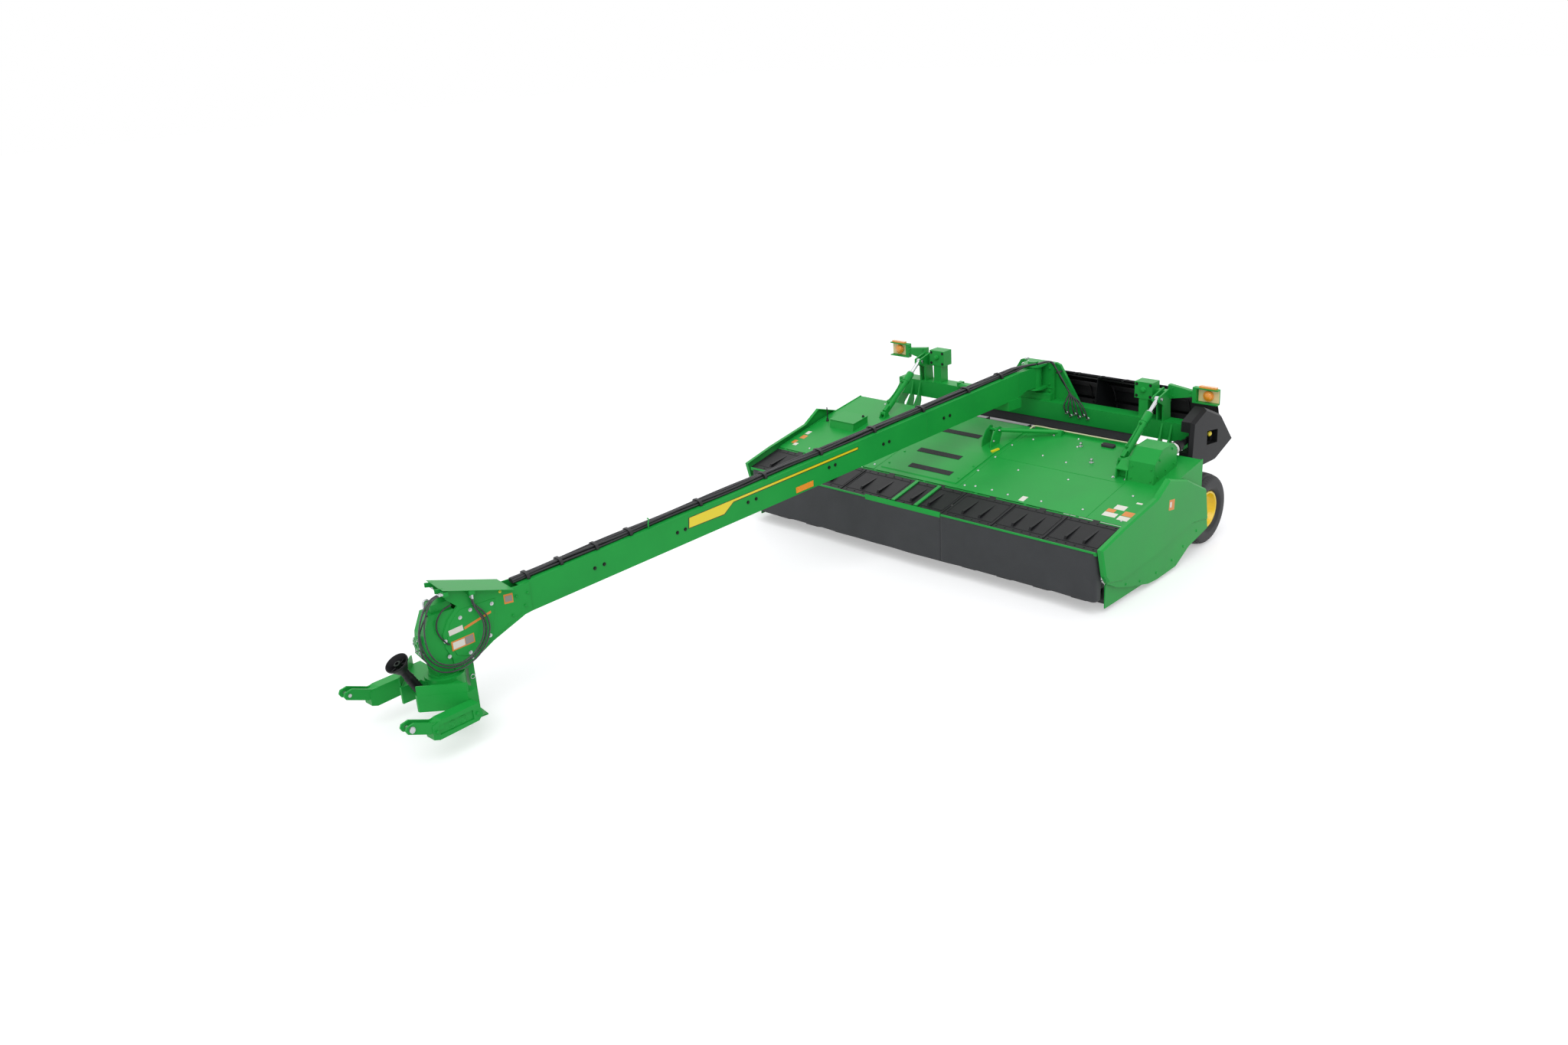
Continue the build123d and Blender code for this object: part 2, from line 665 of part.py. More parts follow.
# Wheels: tyres on dished rims
wheel_plane = Plane(origin=(wheel_x, wheel_y, tyre_radius), x_dir=(1, 0, 0), z_dir=(0, -1, 0))
wheel_axis = Axis((wheel_x, wheel_y, tyre_radius), (1, 0, 0))
bead, rim_wall = 130, 14
half_tyre = tyre_width / 2
wheel_bore = spindle_radius + running_gap
with BuildPart() as tyre:
    with BuildSketch(wheel_plane) as tyre_profile:
        with BuildLine():
            Polyline(
                (-bead, rim_radius), (-half_tyre, rim_radius + 95), (-half_tyre, tyre_radius - 75),
                (-half_tyre + 40, tyre_radius), (half_tyre - 40, tyre_radius),
                (half_tyre, tyre_radius - 75),
                (half_tyre, rim_radius + 95), (bead, rim_radius), close=True,
            )
        make_face()
    revolve(axis=wheel_axis)
with BuildPart() as rim:
    with BuildSketch(wheel_plane):
        with BuildLine():
            Polyline(
                (-bead, rim_radius), (bead, rim_radius), (bead - 30, rim_radius - rim_wall), (20, 80),
                (45, 70),
                (45, wheel_bore), (-100, wheel_bore), (-100, 60), (0, 70),
                (60, rim_radius - 2 * rim_wall),
                (-bead, rim_radius - rim_wall), close=True,
            )
        make_face()
    revolve(axis=wheel_axis)

# Lift cylinders: the barrel stands on the deck's lug, the rod's eye sits on the post's pin
ram_length = math.dist(ram_foot, ram_top)
ram_dir = ((ram_top[0] - ram_foot[0]) / ram_length, (ram_top[1] - ram_foot[1]) / ram_length)


def on_ram(distance):
    """A point this far up the lift cylinder from its foot."""
    return (ram_x, ram_foot_y + ram_dir[0] * distance, ram_foot_z + ram_dir[1] * distance)


ram_eye = ram_ear - 2
barrel_end = 0.6 * ram_length
with BuildPart() as lift_barrel:
    add(bar(on_ram(20), on_ram(barrel_end), ram_radius))
    for side in (1, -1):
        fork_gap = block(
            sorted((ram_x + side * ram_eye, ram_x + side * 60)), (ram_foot_y - 60, ram_foot_y + 75),
            (1040, 1200),
        )
        add(fork_gap, mode=Mode.SUBTRACT)
    add(
        bar(
            (ram_x - ram_eye, ram_foot_y, ram_foot_z), (ram_x + ram_eye, ram_foot_y, ram_foot_z),
            ram_pin + 12,
        ),
    )
    add(
        bar(
            (ram_x - 50, ram_foot_y, ram_foot_z), (ram_x + 50, ram_foot_y, ram_foot_z),
            ram_pin + running_gap,
        ),
        mode=Mode.SUBTRACT,
    )
    add(bar(on_ram(85), on_ram(barrel_end + 1), ram_rod + running_gap), mode=Mode.SUBTRACT)
with BuildPart() as lift_rod:
    add(bar(on_ram(160), on_ram(ram_length), ram_rod))
    add(bar((ram_x - ram_eye, *ram_top), (ram_x + ram_eye, *ram_top), ram_pin + 14))
    add(bar((ram_x - 50, *ram_top), (ram_x + 50, *ram_top), ram_pin + 3), mode=Mode.SUBTRACT)

for name, piece in (("tyre", tyre), ("rim", rim), ("lift_barrel", lift_barrel), ("lift_rod", lift_rod)):
    pieces[f"{name}_left"] = piece.part
    pieces[f"{name}_right"] = mirror(piece.part, about=Plane.YZ)

# Tongue pieces are laid out straight ahead of the pivot, with y counted from it
swung = Location((0, pivot_y, 0), (0, 0, swing_angle))


def top_at(distance):
    """The height of the tongue's top this far ahead of the pivot."""
    return tongue_top - tongue_slope * distance


lug_box_low = tube_top - 8
with BuildPart() as tongue_beam:
    half_tongue = tongue_width / 2
    outer = [
        (-tongue_start, top_at(tongue_start)), (-tongue_end, top_at(tongue_end)),
        (-tongue_end, top_at(tongue_end) - tongue_height),
        (-tongue_start, top_at(tongue_start) - tongue_height),
    ]
    hollow = [(y, z - tongue_wall) for y, z in outer[:2]] + [(y, z + tongue_wall) for y, z in outer[2:]]
    add(side_cut(outer, -half_tongue, half_tongue))
    add(side_cut(hollow, -half_tongue + tongue_wall, half_tongue - tongue_wall), mode=Mode.SUBTRACT)
    neck_low, neck_high = hub_low + 6, hub_high - 6
    neck = [
        (0, neck_low), (0, neck_high), (-220, neck_high), (-tongue_start, top_at(tongue_start)),
        (-tongue_start, top_at(tongue_start) - tongue_height), (-220, neck_low),
    ]
    add(side_cut(neck, -half_tongue + 5, half_tongue - 5))
    add(bar((0, 0, hub_low), (0, 0, hub_high), hub_radius))
    add(bar((0, 0, hub_low - 1), (0, 0, hub_high + 1), pivot_pin + running_gap), mode=Mode.SUBTRACT)
    box_front, box_rear = -swing_lug_l - 112, -swing_lug_l + 112
    add(block((-110, 110), (box_front, box_rear), (lug_box_low, top_at(swing_lug_l) - tongue_height + 6)))
    add(
        block(
            (-111, 102), (box_front + 8, box_rear - 8),
            (lug_box_low + 8, top_at(swing_lug_l) - tongue_height - 4),
        ),
        mode=Mode.SUBTRACT,
    )
pieces["tongue_beam"] = swung * tongue_beam.part

# Nose: cheek plates beside the tongue's end, the upper gearbox housing between them and a folded roof
swivel = (0, -swivel_l)
flange_top = nose_floor + 21
king_radius = 40
roof_half, roof_thick = 178, 6
cheek_end = half_tongue + cheek_thick


def behind_swivel(distance):
    """The place along the tongue this far behind the swivel."""
    return distance - swivel_l


def nose_side(outline, x_from, x_to):
    """A solid cut from a plate whose outline is given behind the swivel and above the ground."""
    return side_cut([(behind_swivel(back), z) for back, z in outline], x_from, x_to)


join_top, join_low = nose_length + 100, nose_length + 20
roof_low, roof_high = (740, 1198), (50, 1408)
with BuildPart() as tongue_nose:
    cheek = [
        (join_top, top_at(swivel_l - join_top) - 6), roof_low, roof_high, (80, 1290), (180, 1195),
        (70, 1090),
        (0, 960), (10, 820), (60, 700), (70, nose_floor + 10), (180, nose_floor + 10), (490, 735),
        (join_low, top_at(swivel_l - join_low) - tongue_height),
        (join_top, top_at(swivel_l - join_top) - tongue_height + 6),
    ]
    add(nose_side(cheek, half_tongue, cheek_end))
    doubler = [(560, 1150), (200, 1150), (90, 1050), (40, 900), (110, 720), (260, 660), (480, 790)]
    add(nose_side(doubler, cheek_end, cheek_end + 5))
    mirror(about=Plane.YZ)
    housing = [
        (140, 1180), (-100, 1180), (-180, 1000), (-210, 780), (-120, 640), (-110, flange_top),
        (120, flange_top),
        (140, 750), (380, 950),
    ]
    add(nose_side(housing, -half_tongue, half_tongue))
    add(
        nose_side(
            [(140, 1260), (-60, 1260), (-60, 1170), (140, 1170)], -half_tongue + 35, half_tongue - 35
        ),
    )
    bearing_y, bearing_z = behind_swivel(-190), 890
    add(bar((0, bearing_y + 60, bearing_z), (0, bearing_y - 26, bearing_z - 4), 88))
    for cap_z in (1010, 1090):
        add(
            bar(
                (-half_tongue - 4, behind_swivel(-40), cap_z),
                (half_tongue + 4, behind_swivel(-40), cap_z), 30,
            ),
        )
    (low_back, low_z), (high_back, high_z) = roof_low, roof_high
    roof = [
        roof_low, roof_high, (high_back - 8, high_z), (high_back - 8, high_z + roof_thick),
        (low_back, low_z + roof_thick),
    ]
    add(nose_side(roof, -roof_half, roof_half))
    roof_lip = [(high_back + 20, high_z - 50), (high_back - 60, high_z - 30), (high_back - 60, high_z + 12),
                (high_back - 52, high_z + 12), (high_back - 8, high_z + roof_thick), (high_back + 20, high_z)]
    add(nose_side(roof_lip, -cheek_end, -cheek_end + 10))
    add(nose_side(roof_lip, cheek_end - 10, cheek_end))
    add(bar((*swivel, nose_floor), (*swivel, flange_top), 150))
    add(bar((*swivel, nose_floor - 1), (*swivel, 650), king_radius + running_gap), mode=Mode.SUBTRACT)
    stand_l, stand_z, stand_pin = swivel_l - 250, 645, 14
    add(bar((-half_tongue, -stand_l, stand_z), (half_tongue, -stand_l, stand_z), stand_pin))
    hose_clamp = [(90, 1345), (40, 1345), (40, 1398), (90, 1386)]
    add(nose_side(hose_clamp, cheek_end - 1, roof_half - 2))
    hose_socket = [(345, 1285), (290, 1285), (290, 1333), (345, 1317)]
    add(nose_side(hose_socket, cheek_end - 1, roof_half - 2))
pieces["tongue_nose"] = swung * tongue_nose.part

# Free hose loops of the tractor's couplings: each leaves a clamp under the roof, hangs in front of the nose
# and comes back to a socket beside the cheek
hose_size = 15
loop_routes = [
    # out from the middle, then the places behind the swivel and above the ground
    (128, [(40, 1368), (-40, 1368), (-122, 1305), (-186, 1208), (-222, 1090), (-228, 960), (-205, 838), (-150, 735),
           (-70, 660), (25, 618), (130, 612), (235, 640), (330, 700), (400, 785), (432, 890), (425, 990),
           (380, 1075),
           (318, 1170), (318, 1285)]),
    (146, [(40, 1364), (-46, 1364), (-134, 1295), (-200, 1190), (-242, 1060), (-250, 920), (-222, 787), (-160, 680),
           (-70, 608), (40, 584), (150, 592), (260, 628), (355, 695), (425, 790), (460, 905), (448, 1015),
           (396, 1105),
           (318, 1185), (318, 1285)]),
    (164, [(40, 1372), (-34, 1372), (-105, 1312), (-160, 1212), (-190, 1090), (-195, 960), (-172, 840), (-120, 745),
           (-45, 685), (45, 655), (140, 655), (230, 690), (310, 750), (365, 830), (392, 925), (388, 1015),
           (352, 1090),
           (318, 1175), (318, 1285)]),
]
for index, (out, route) in enumerate(loop_routes):
    points = [Vector(out, behind_swivel(back), z) for back, z in route]
    radii = []
    for before, here, after in zip(points, points[1:], points[2:]):
        turn = math.radians((here - before).get_angle(after - here))
        shorter = min((here - before).length, (after - here).length)
        radii.append(0.45 * shorter / math.tan(turn / 2))
    print("hose", index + 1, "radii", [round(radius) for radius in radii])
    with BuildPart() as hose_loop:
        with BuildLine():
            hose_path = FilletPolyline(*points, radius=radii)
        with BuildSketch(Plane(origin=points[0], z_dir=points[1] - points[0])):
            Circle(hose_size / 2)
        sweep(path=hose_path)
    fill = hose_loop.part.volume / hose_path.length / (math.pi * hose_size**2 / 4)
    print(
        "hose", index + 1, "length", round(hose_path.length), "volume over section times length",
        round(fill, 4),
    )
    pieces[f"hose_loop_{index + 1}"] = swung * hose_loop.part

# Hose bundle that lies on the tongue
hose_radius = 11
hose_from, hose_to = -tongue_end - 40, -420
with BuildPart() as tongue_hoses:
    for hose_x in (-45, -20, 5, 30):
        add(
            bar(
                (hose_x, hose_from, top_at(-hose_from) + hose_radius + seat_gap),
                (hose_x, hose_to, top_at(-hose_to) + hose_radius + seat_gap), hose_radius,
            )
        )
pieces["tongue_hoses"] = swung * tongue_hoses.part

# Parking stand: a folding leg under the nose
with BuildPart() as stand:
    add(block((-45, 45), (-stand_l - 30, -stand_l + 30), (12, stand_z + 28)))
    add(block((-38, 38), (-stand_l - 24, -stand_l + 24), (40, stand_z - 60)), mode=Mode.SUBTRACT)
    add(block((-100, 100), (-stand_l - 75, -stand_l + 75), (0, 14)))
    add(
        bar((-50, -stand_l, stand_z), (50, -stand_l, stand_z), stand_pin + running_gap),
        mode=Mode.SUBTRACT,
    )
    for side in (1, -1):
        add(
            bar(
                (side * 45, -stand_l, stand_z), (side * (half_tongue - seat_gap), -stand_l, stand_z),
                stand_pin + 10,
            ),
        )
    add(
        bar((-101, -stand_l, stand_z), (101, -stand_l, stand_z), stand_pin + running_gap),
        mode=Mode.SUBTRACT,
    )
pieces["stand"] = swung * stand.part

# Hitch, laid out from the swivel axis and pointing straight ahead
hitch_place = swung * Location((0, -swivel_l, 0)) * Location((0, 0, 0), (0, 0, -swing_angle))
body_low, body_high = 335, nose_floor - seat_gap - 40
pto_y, pto_z = pto_pivot
link_x = (hitch_half - 55, hitch_half - 35, hitch_half + 35, hitch_half + 55)
wing_inner, wing_outer = (146, -400), (hitch_half - 60, -70)
wing_top = nose_floor + 55
with BuildPart() as hitch_body:
    add(bar((0, 0, body_low), (0, 0, nose_floor - seat_gap), 190))
    add(bar((0, 0, body_high), (0, 0, 645), king_radius))
    with BuildSketch(Plane.XY.offset(body_low)):
        with BuildLine():
            Polyline(
                (0, 20), (190, 20), (hitch_half - 55, 30), (hitch_half - 55, -70), wing_inner,
                (120, -400), (110, -190),
                (0, -190), close=True,
            )
        make_face()
        mirror(about=Plane.YZ)
    extrude(amount=body_high - body_low)
    with BuildSketch(Plane.XY.offset(body_high - 1)):
        with BuildLine():
            Polyline(wing_inner, wing_outer, (wing_outer[0], -50), (wing_inner[0] - 6, -386), close=True)
        make_face()
        mirror(about=Plane.YZ)
    extrude(amount=wing_top - body_high)
    clevis = [
        (-420, 330), (-420, 420), (-500, 420), (-700, 508), (-775, 495), (-792, hitch_pin_z), (-775, 425),
        (-560, 330),
    ]
    arm_side = [(-540, 262), (-540, 400), (-440, 425), (-40, 425), (-10, 300), (-60, 250), (-480, 238)]
    for side in (1, -1):
        add(side_cut(arm_side, *sorted((side * (hitch_half - 60), side * (hitch_half + 60)))))
        lift_window = [(-470, 285), (-470, 380), (-110, 380), (-110, 285)]
        pocket_from, pocket_to = sorted((side * (hitch_half + 48), side * (hitch_half + 61)))
        add(side_cut(lift_window, pocket_from, pocket_to), mode=Mode.SUBTRACT)
        for near, far in (link_x[:2], link_x[2:]):
            add(side_cut(clevis, *sorted((side * near, side * far))))
        hole_start = (side * (link_x[0] - 1), hitch_pin_y, hitch_pin_z)
        hole_end = (side * (link_x[3] + 1), hitch_pin_y, hitch_pin_z)
        add(bar(hole_start, hole_end, link_pin_radius + running_gap), mode=Mode.SUBTRACT)
    for ear_x in (-38, 38):
        add(block((ear_x - 8, ear_x + 8), (pto_y - 24, -180), (pto_z - 24, pto_z + 24)))
    add(bar((-46, pto_y, pto_z), (46, pto_y, pto_z), 11))
pieces["hitch_body"] = hitch_place * hitch_body.part
with BuildPart() as link_pins:
    for side in (1, -1):
        pin_start = (side * (link_x[0] - 14), hitch_pin_y, hitch_pin_z)
        pin_end = (side * (link_x[3] + 18), hitch_pin_y, hitch_pin_z)
        add(bar(pin_start, pin_end, link_pin_radius))
        head_start = (side * (link_x[3] + seat_gap), hitch_pin_y, hitch_pin_z)
        add(bar(head_start, pin_end, link_pin_radius + 8))
pieces["link_pins"] = hitch_place * link_pins.part

# Guarded drive shaft of the tractor side, stored upright on its gearbox
guard_y, guard_z = -450, 800
guard_length = math.dist((pto_y, pto_z), (guard_y, guard_z))
with BuildPart() as pto_shaft:
    along = Vector(0, guard_y - pto_y, guard_z - pto_z).normalized()
    start = Vector(0, pto_y, pto_z)
    with BuildSketch(Plane(origin=start, x_dir=(1, 0, 0), z_dir=Vector(1, 0, 0).cross(along))):
        with BuildLine():
            Polyline(
                (0, 10), (24, 10), (24, 70), (42, 70), (42, guard_length - 70), (62, guard_length - 70),
                (112, guard_length + 30), (106, guard_length + 30), (58, guard_length - 50),
                (30, guard_length - 50),
                (30, guard_length + 20), (pto_bore, guard_length + 20), (pto_bore, guard_length - 55),
                (0, guard_length - 55), close=True,
            )
        make_face()
    revolve(axis=Axis(tuple(start), tuple(along)))
    add(block((-28, 28), (pto_y - 22, pto_y + 22), (pto_z - 20, pto_z + 20)))
    add(bar((-60, pto_y, pto_z), (60, pto_y, pto_z), 11 + running_gap), mode=Mode.SUBTRACT)
pieces["pto_shaft"] = hitch_place * pto_shaft.part

# Swing cylinder from the carrier frame to the box under the tongue
lug_point = swung * Location((0, -swing_lug_l, 0))
lug_at = lug_point.position
swing_from = Vector(swing_foot[0], swing_foot[1], swing_z)
swing_along = Vector(lug_at.X - swing_foot[0], lug_at.Y - swing_foot[1], 0)
swing_length = swing_along.length
swing_dir = swing_along.normalized()
swing_pin = 15


def upright(point, low, high, radius):
    """A vertical round bar through a point, between two heights above and below it."""
    return bar((point.X, point.Y, point.Z + low), (point.X, point.Y, point.Z + high), radius)


swing_to = swing_from + swing_dir * swing_length
with BuildPart() as swing_barrel:
    add(bar(tuple(swing_from + swing_dir * 20), tuple(swing_from + swing_dir * 70), 20))
    add(bar(tuple(swing_from + swing_dir * 60), tuple(swing_from + swing_dir * 620), 38))
    add(upright(swing_from, -22, 22, swing_pin + 14))
    add(upright(swing_from, -50, 50, swing_pin + running_gap), mode=Mode.SUBTRACT)
    add(
        bar(tuple(swing_from + swing_dir * 80), tuple(swing_from + swing_dir * 621), 22 + running_gap),
        mode=Mode.SUBTRACT,
    )
with BuildPart() as swing_rod:
    add(bar(tuple(swing_from + swing_dir * 240), tuple(swing_to), 22))
    add(upright(swing_to, -24, 24, 28))
pieces["swing_barrel"] = swing_barrel.part
pieces["swing_rod"] = swing_rod.part
with BuildPart() as swing_bracket:
    for low in (-36, 24):
        with BuildSketch(Plane.XY.offset(swing_z + low)):
            with Locations((swing_foot[0], swing_foot[1])):
                Circle(32)
            with Locations((swing_foot[0], (swing_foot[1] + tube_front) / 2)):
                Rectangle(64, tube_front - swing_foot[1])
        extrude(amount=12)
    add(upright(swing_from, -36, 36, swing_pin))
    add(
        block(
            (swing_foot[0] - 32, swing_foot[0] + 32), (tube_front, tube_front + 12),
            (tube_top, swing_z + 36),
        ),
    )
pieces["swing_bracket"] = swing_bracket.part

# Move everything so that the origin is on the ground under the middle of the machine
machine = Compound(children=[Part(piece.wrapped) for piece in pieces.values()])
limits = machine.bounding_box()
home = Location((-limits.center().X, -limits.center().Y, -limits.min.Z))
print("moved home by", home.position)

os.makedirs("parts", exist_ok=True)
for name, piece in pieces.items():
    placed = home * piece
    placed.label = name
    export_step(placed, f"parts/{name}.step")
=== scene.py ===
"""A towed centre-pivot mower conditioner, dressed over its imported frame.

Places are in metres. The machine is laid out from the face of its front rail, so a place ahead of the rail is
negative, and rail_y is where that face lies in the frame.
"""
import math

import bmesh
import bpy
import numpy as np
from mathutils import Matrix, Vector


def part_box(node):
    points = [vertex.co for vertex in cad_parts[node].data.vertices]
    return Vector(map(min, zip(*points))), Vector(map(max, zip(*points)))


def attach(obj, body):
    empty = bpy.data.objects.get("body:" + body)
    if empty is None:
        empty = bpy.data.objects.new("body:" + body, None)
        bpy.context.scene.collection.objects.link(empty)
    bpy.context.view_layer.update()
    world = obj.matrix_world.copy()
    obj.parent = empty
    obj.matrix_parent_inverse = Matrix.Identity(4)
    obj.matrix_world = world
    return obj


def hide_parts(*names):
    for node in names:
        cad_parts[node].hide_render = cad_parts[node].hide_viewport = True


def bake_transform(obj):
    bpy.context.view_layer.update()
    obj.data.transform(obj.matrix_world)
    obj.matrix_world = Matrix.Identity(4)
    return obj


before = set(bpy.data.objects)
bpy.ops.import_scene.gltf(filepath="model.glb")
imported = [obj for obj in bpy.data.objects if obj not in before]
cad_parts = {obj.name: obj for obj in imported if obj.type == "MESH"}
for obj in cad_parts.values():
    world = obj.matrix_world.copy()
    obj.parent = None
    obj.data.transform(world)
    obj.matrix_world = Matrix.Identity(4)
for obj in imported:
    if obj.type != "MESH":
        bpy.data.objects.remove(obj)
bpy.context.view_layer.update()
rail_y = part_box("rail_left")[0][1]

# Camera
# It stands off the machine's front left corner, above the deck, and looks down along the tongue.
# Place and angles come from the straight edges of the photograph.
eye = Vector((9.2096, -11.3593 + rail_y, 6.2059))
yaw, pitch, roll = 0.7776, 0.3659, -0.0651
focal_pixels, photo_width = 1768.19, 2048
look = Vector((-math.sin(yaw) * math.cos(pitch), math.cos(yaw) * math.cos(pitch), -math.sin(pitch)))
level_right = Vector((math.cos(yaw), math.sin(yaw), 0))
level_up = level_right.cross(look)
right = math.cos(roll) * level_right + math.sin(roll) * level_up
up = math.cos(roll) * level_up - math.sin(roll) * level_right
camera_data = bpy.data.cameras.new("camera")
camera_data.sensor_width = 36
camera_data.lens = focal_pixels * camera_data.sensor_width / photo_width
camera_data.clip_end = 200
camera = bpy.data.objects.new("camera", camera_data)
camera.matrix_world = Matrix((
    (right.x, up.x, -look.x, eye.x),
    (right.y, up.y, -look.y, eye.y),
    (right.z, up.z, -look.z, eye.z),
    (0, 0, 0, 1),
))
bpy.context.collection.objects.link(camera)
bpy.context.scene.camera = camera
bpy.context.scene.view_settings.view_transform = "Standard"


def srgb(hex_colour):
    """An sRGB hex colour as linear values: the straight part below 0.04045, the 2.4 power above it."""
    values = np.array([int(hex_colour[i:i + 2], 16) for i in (0, 2, 4)]) / 255
    linear = np.where(values <= 0.04045, values / 12.92, ((values + 0.055) / 1.055) ** 2.4)
    return (*linear, 1)


def node(tree, kind, links=None, **settings):
    """Adds a node to a tree, sets its properties or sockets by name, and links sockets given as outputs."""
    new = tree.nodes.new(kind)
    for name, value in settings.items():
        setattr(new, name, value)
    for name, value in (links or {}).items():
        if isinstance(value, bpy.types.NodeSocket):
            tree.links.new(value, new.inputs[name])
        else:
            new.inputs[name].default_value = value
    return new


def fresh(name):
    """A new material with an empty node tree and its output, and the metres of the frame as coordinates."""
    material = bpy.data.materials.new(name)
    material.use_nodes = True
    tree = material.node_tree
    tree.nodes.clear()
    return material, tree, node(tree, "ShaderNodeTexCoord").outputs["Object"]


usual_slots = {}


def surface(name, sockets, patterns, slot=None):
    """A Principled material, with textures in metres of the frame, and the slot its pieces usually take.

    A pattern gives a texture's kind, its sockets, what it drives and its settings. It drives relief by bump
    strength and height, tint between two colours, or gloss between two roughnesses.
    """
    usual_slots[name] = slot
    material, tree, metres = fresh(name)
    driven = {}
    for kind, texture, drives, *settings in patterns:
        texture = node(tree, f"ShaderNodeTex{kind}", {"Vector": metres, **texture}, **dict(*settings))
        value = texture.outputs[0]
        for drive, (low, high) in drives.items():
            if drive == "relief":
                bump = node(tree, "ShaderNodeBump", {"Height": value, "Strength": low, "Distance": high})
                driven["Normal"] = bump.outputs[0]
            elif drive == "tint":
                mix = node(tree, "ShaderNodeMix", {0: value, 6: srgb(low), 7: srgb(high)}, data_type="RGBA")
                driven["Base Color"] = mix.outputs[2]
            else:
                level = node(tree, "ShaderNodeMapRange", {"Value": value, "To Min": low, "To Max": high})
                driven["Roughness"] = level.outputs[0]
    skin = node(tree, "ShaderNodeBsdfPrincipled", {**sockets, **driven})
    node(tree, "ShaderNodeOutputMaterial", {"Surface": skin.outputs[0]})
    return material


# Hydraulic hoses at the nose
# Four-layer rubber hose, 15 mm outside, in a woven wear sleeve that gives a fine diamond weave and a soft
# sheen. The tractor's ends are parked under the roof, so each hangs in a loop in front of the nose.
hose_cover = surface("woven hose sleeve over rubber", {
    "Roughness": 0.22, "Sheen Weight": 0.3, "Sheen Roughness": 0.4,
}, [
    ("Wave", {"Scale": 90, "Distortion": 2}, {"relief": (0.3, 0.001)}, {"bands_direction": "DIAGONAL"}),
    ("Noise", {"Scale": 14, "Detail": 3}, {"tint": ("1A1B1D", "45474B")}),
])

swing = math.radians(-8.14)
pivot = np.array((0, 2.6 + rail_y, 0))
swivel_ahead = 8.18


def on_tongue(points):
    """Points across the tongue, ahead of its pivot and above the ground, turned with the tongue's swing."""
    across, ahead, height = np.moveaxis(np.asarray(points, float), -1, 0)
    flat = (across * math.cos(swing) + ahead * math.sin(swing),
            across * math.sin(swing) - ahead * math.cos(swing))
    return np.stack([*flat, height], axis=-1) + pivot


straight_ahead = on_tongue((0, 1, 0)) - on_tongue((0, 0, 0))
hose_size = 0.015
loop_routes = [
    # out from the middle, length, then the places behind the swivel and above the ground
    (0.128, 1.961, [
        (0.040, 1.368), (-0.040, 1.368), (-0.122, 1.305), (-0.186, 1.208), (-0.222, 1.090), (-0.228, 0.960),
        (-0.205, 0.838), (-0.150, 0.735), (-0.070, 0.660), (0.025, 0.618), (0.130, 0.612), (0.235, 0.640),
        (0.330, 0.700), (0.400, 0.785), (0.432, 0.890), (0.425, 0.990), (0.380, 1.075), (0.318, 1.170),
        (0.318, 1.285),
    ]),
    (0.146, 2.072, [
        (0.040, 1.364), (-0.046, 1.364), (-0.134, 1.295), (-0.200, 1.190), (-0.242, 1.060), (-0.250, 0.920),
        (-0.222, 0.787), (-0.160, 0.680), (-0.070, 0.608), (0.040, 0.584), (0.150, 0.592), (0.260, 0.628),
        (0.355, 0.695), (0.425, 0.790), (0.460, 0.905), (0.448, 1.015), (0.396, 1.105), (0.318, 1.185),
        (0.318, 1.285),
    ]),
    (0.164, 1.806, [
        (0.040, 1.372), (-0.034, 1.372), (-0.105, 1.312), (-0.160, 1.212), (-0.190, 1.090), (-0.195, 0.960),
        (-0.172, 0.840), (-0.120, 0.745), (-0.045, 0.685), (0.045, 0.655), (0.140, 0.655), (0.230, 0.690),
        (0.310, 0.750), (0.365, 0.830), (0.392, 0.925), (0.388, 1.015), (0.352, 1.090), (0.318, 1.175),
        (0.318, 1.285),
    ]),
]
for number, (out, length, route) in enumerate(loop_routes, 1):
    places = on_tongue([(out, swivel_ahead - behind, height) for behind, height in route])
    curve = bpy.data.curves.new(f"nose_hose_{number}", "CURVE")
    curve.dimensions = "3D"
    curve.bevel_depth = hose_size / 2
    curve.bevel_resolution = 4
    curve.resolution_u = 8
    curve.use_fill_caps = True
    spline = curve.splines.new("NURBS")
    spline.points.add(len(places) - 1)
    spline.points.foreach_set("co", np.column_stack([places, np.ones(len(places))]).ravel())
    spline.order_u = 3
    spline.use_endpoint_u = True
    hose = bpy.data.objects.new(f"nose_hose_{number}", curve)
    bpy.context.collection.objects.link(hose)
    curve.materials.append(hose_cover)
    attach(hose, "tongue")
    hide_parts(f"hose_loop_{number}")

# Floor and light
# A pale studio sweep: the floor scatters like matt card and keeps the machine's soft shadow.
# To the camera it is lifted to the white of the photograph's background.
floor_half = 90
mesh = bpy.data.meshes.new("floor")
mesh.from_pydata([(x, y, 0) for x, y in ((-1, -1), (1, -1), (1, 1), (-1, 1))], [], [(0, 1, 2, 3)])
mesh.transform(Matrix.Scale(floor_half, 4))
floor = bpy.data.objects.new("floor", mesh)
bpy.context.collection.objects.link(floor)


def seen_straight(tree):
    """One for a ray from the camera, a mirror or glass, else zero: the largest of those three tests."""
    path = node(tree, "ShaderNodeLightPath").outputs
    larger = path["Is Camera Ray"]
    for way in ("Is Glossy Ray", "Is Transmission Ray"):
        larger = node(tree, "ShaderNodeMath", {0: larger, 1: path[way]}, operation="MAXIMUM").outputs[0]
    return larger


card, tree, metres = fresh("matt white card")
lift = node(tree, "ShaderNodeMath", {0: seen_straight(tree), 1: 0.4}, operation="MULTIPLY")
scatter = node(tree, "ShaderNodeBsdfDiffuse", {"Color": srgb("E2E2E5")})
glow = node(tree, "ShaderNodeEmission", {"Color": (1, 1, 1, 1), "Strength": lift.outputs[0]})
both = node(tree, "ShaderNodeAddShader", {0: scatter.outputs[0], 1: glow.outputs[0]})
node(tree, "ShaderNodeOutputMaterial", {"Surface": both.outputs[0]})
floor.data.materials.append(card)

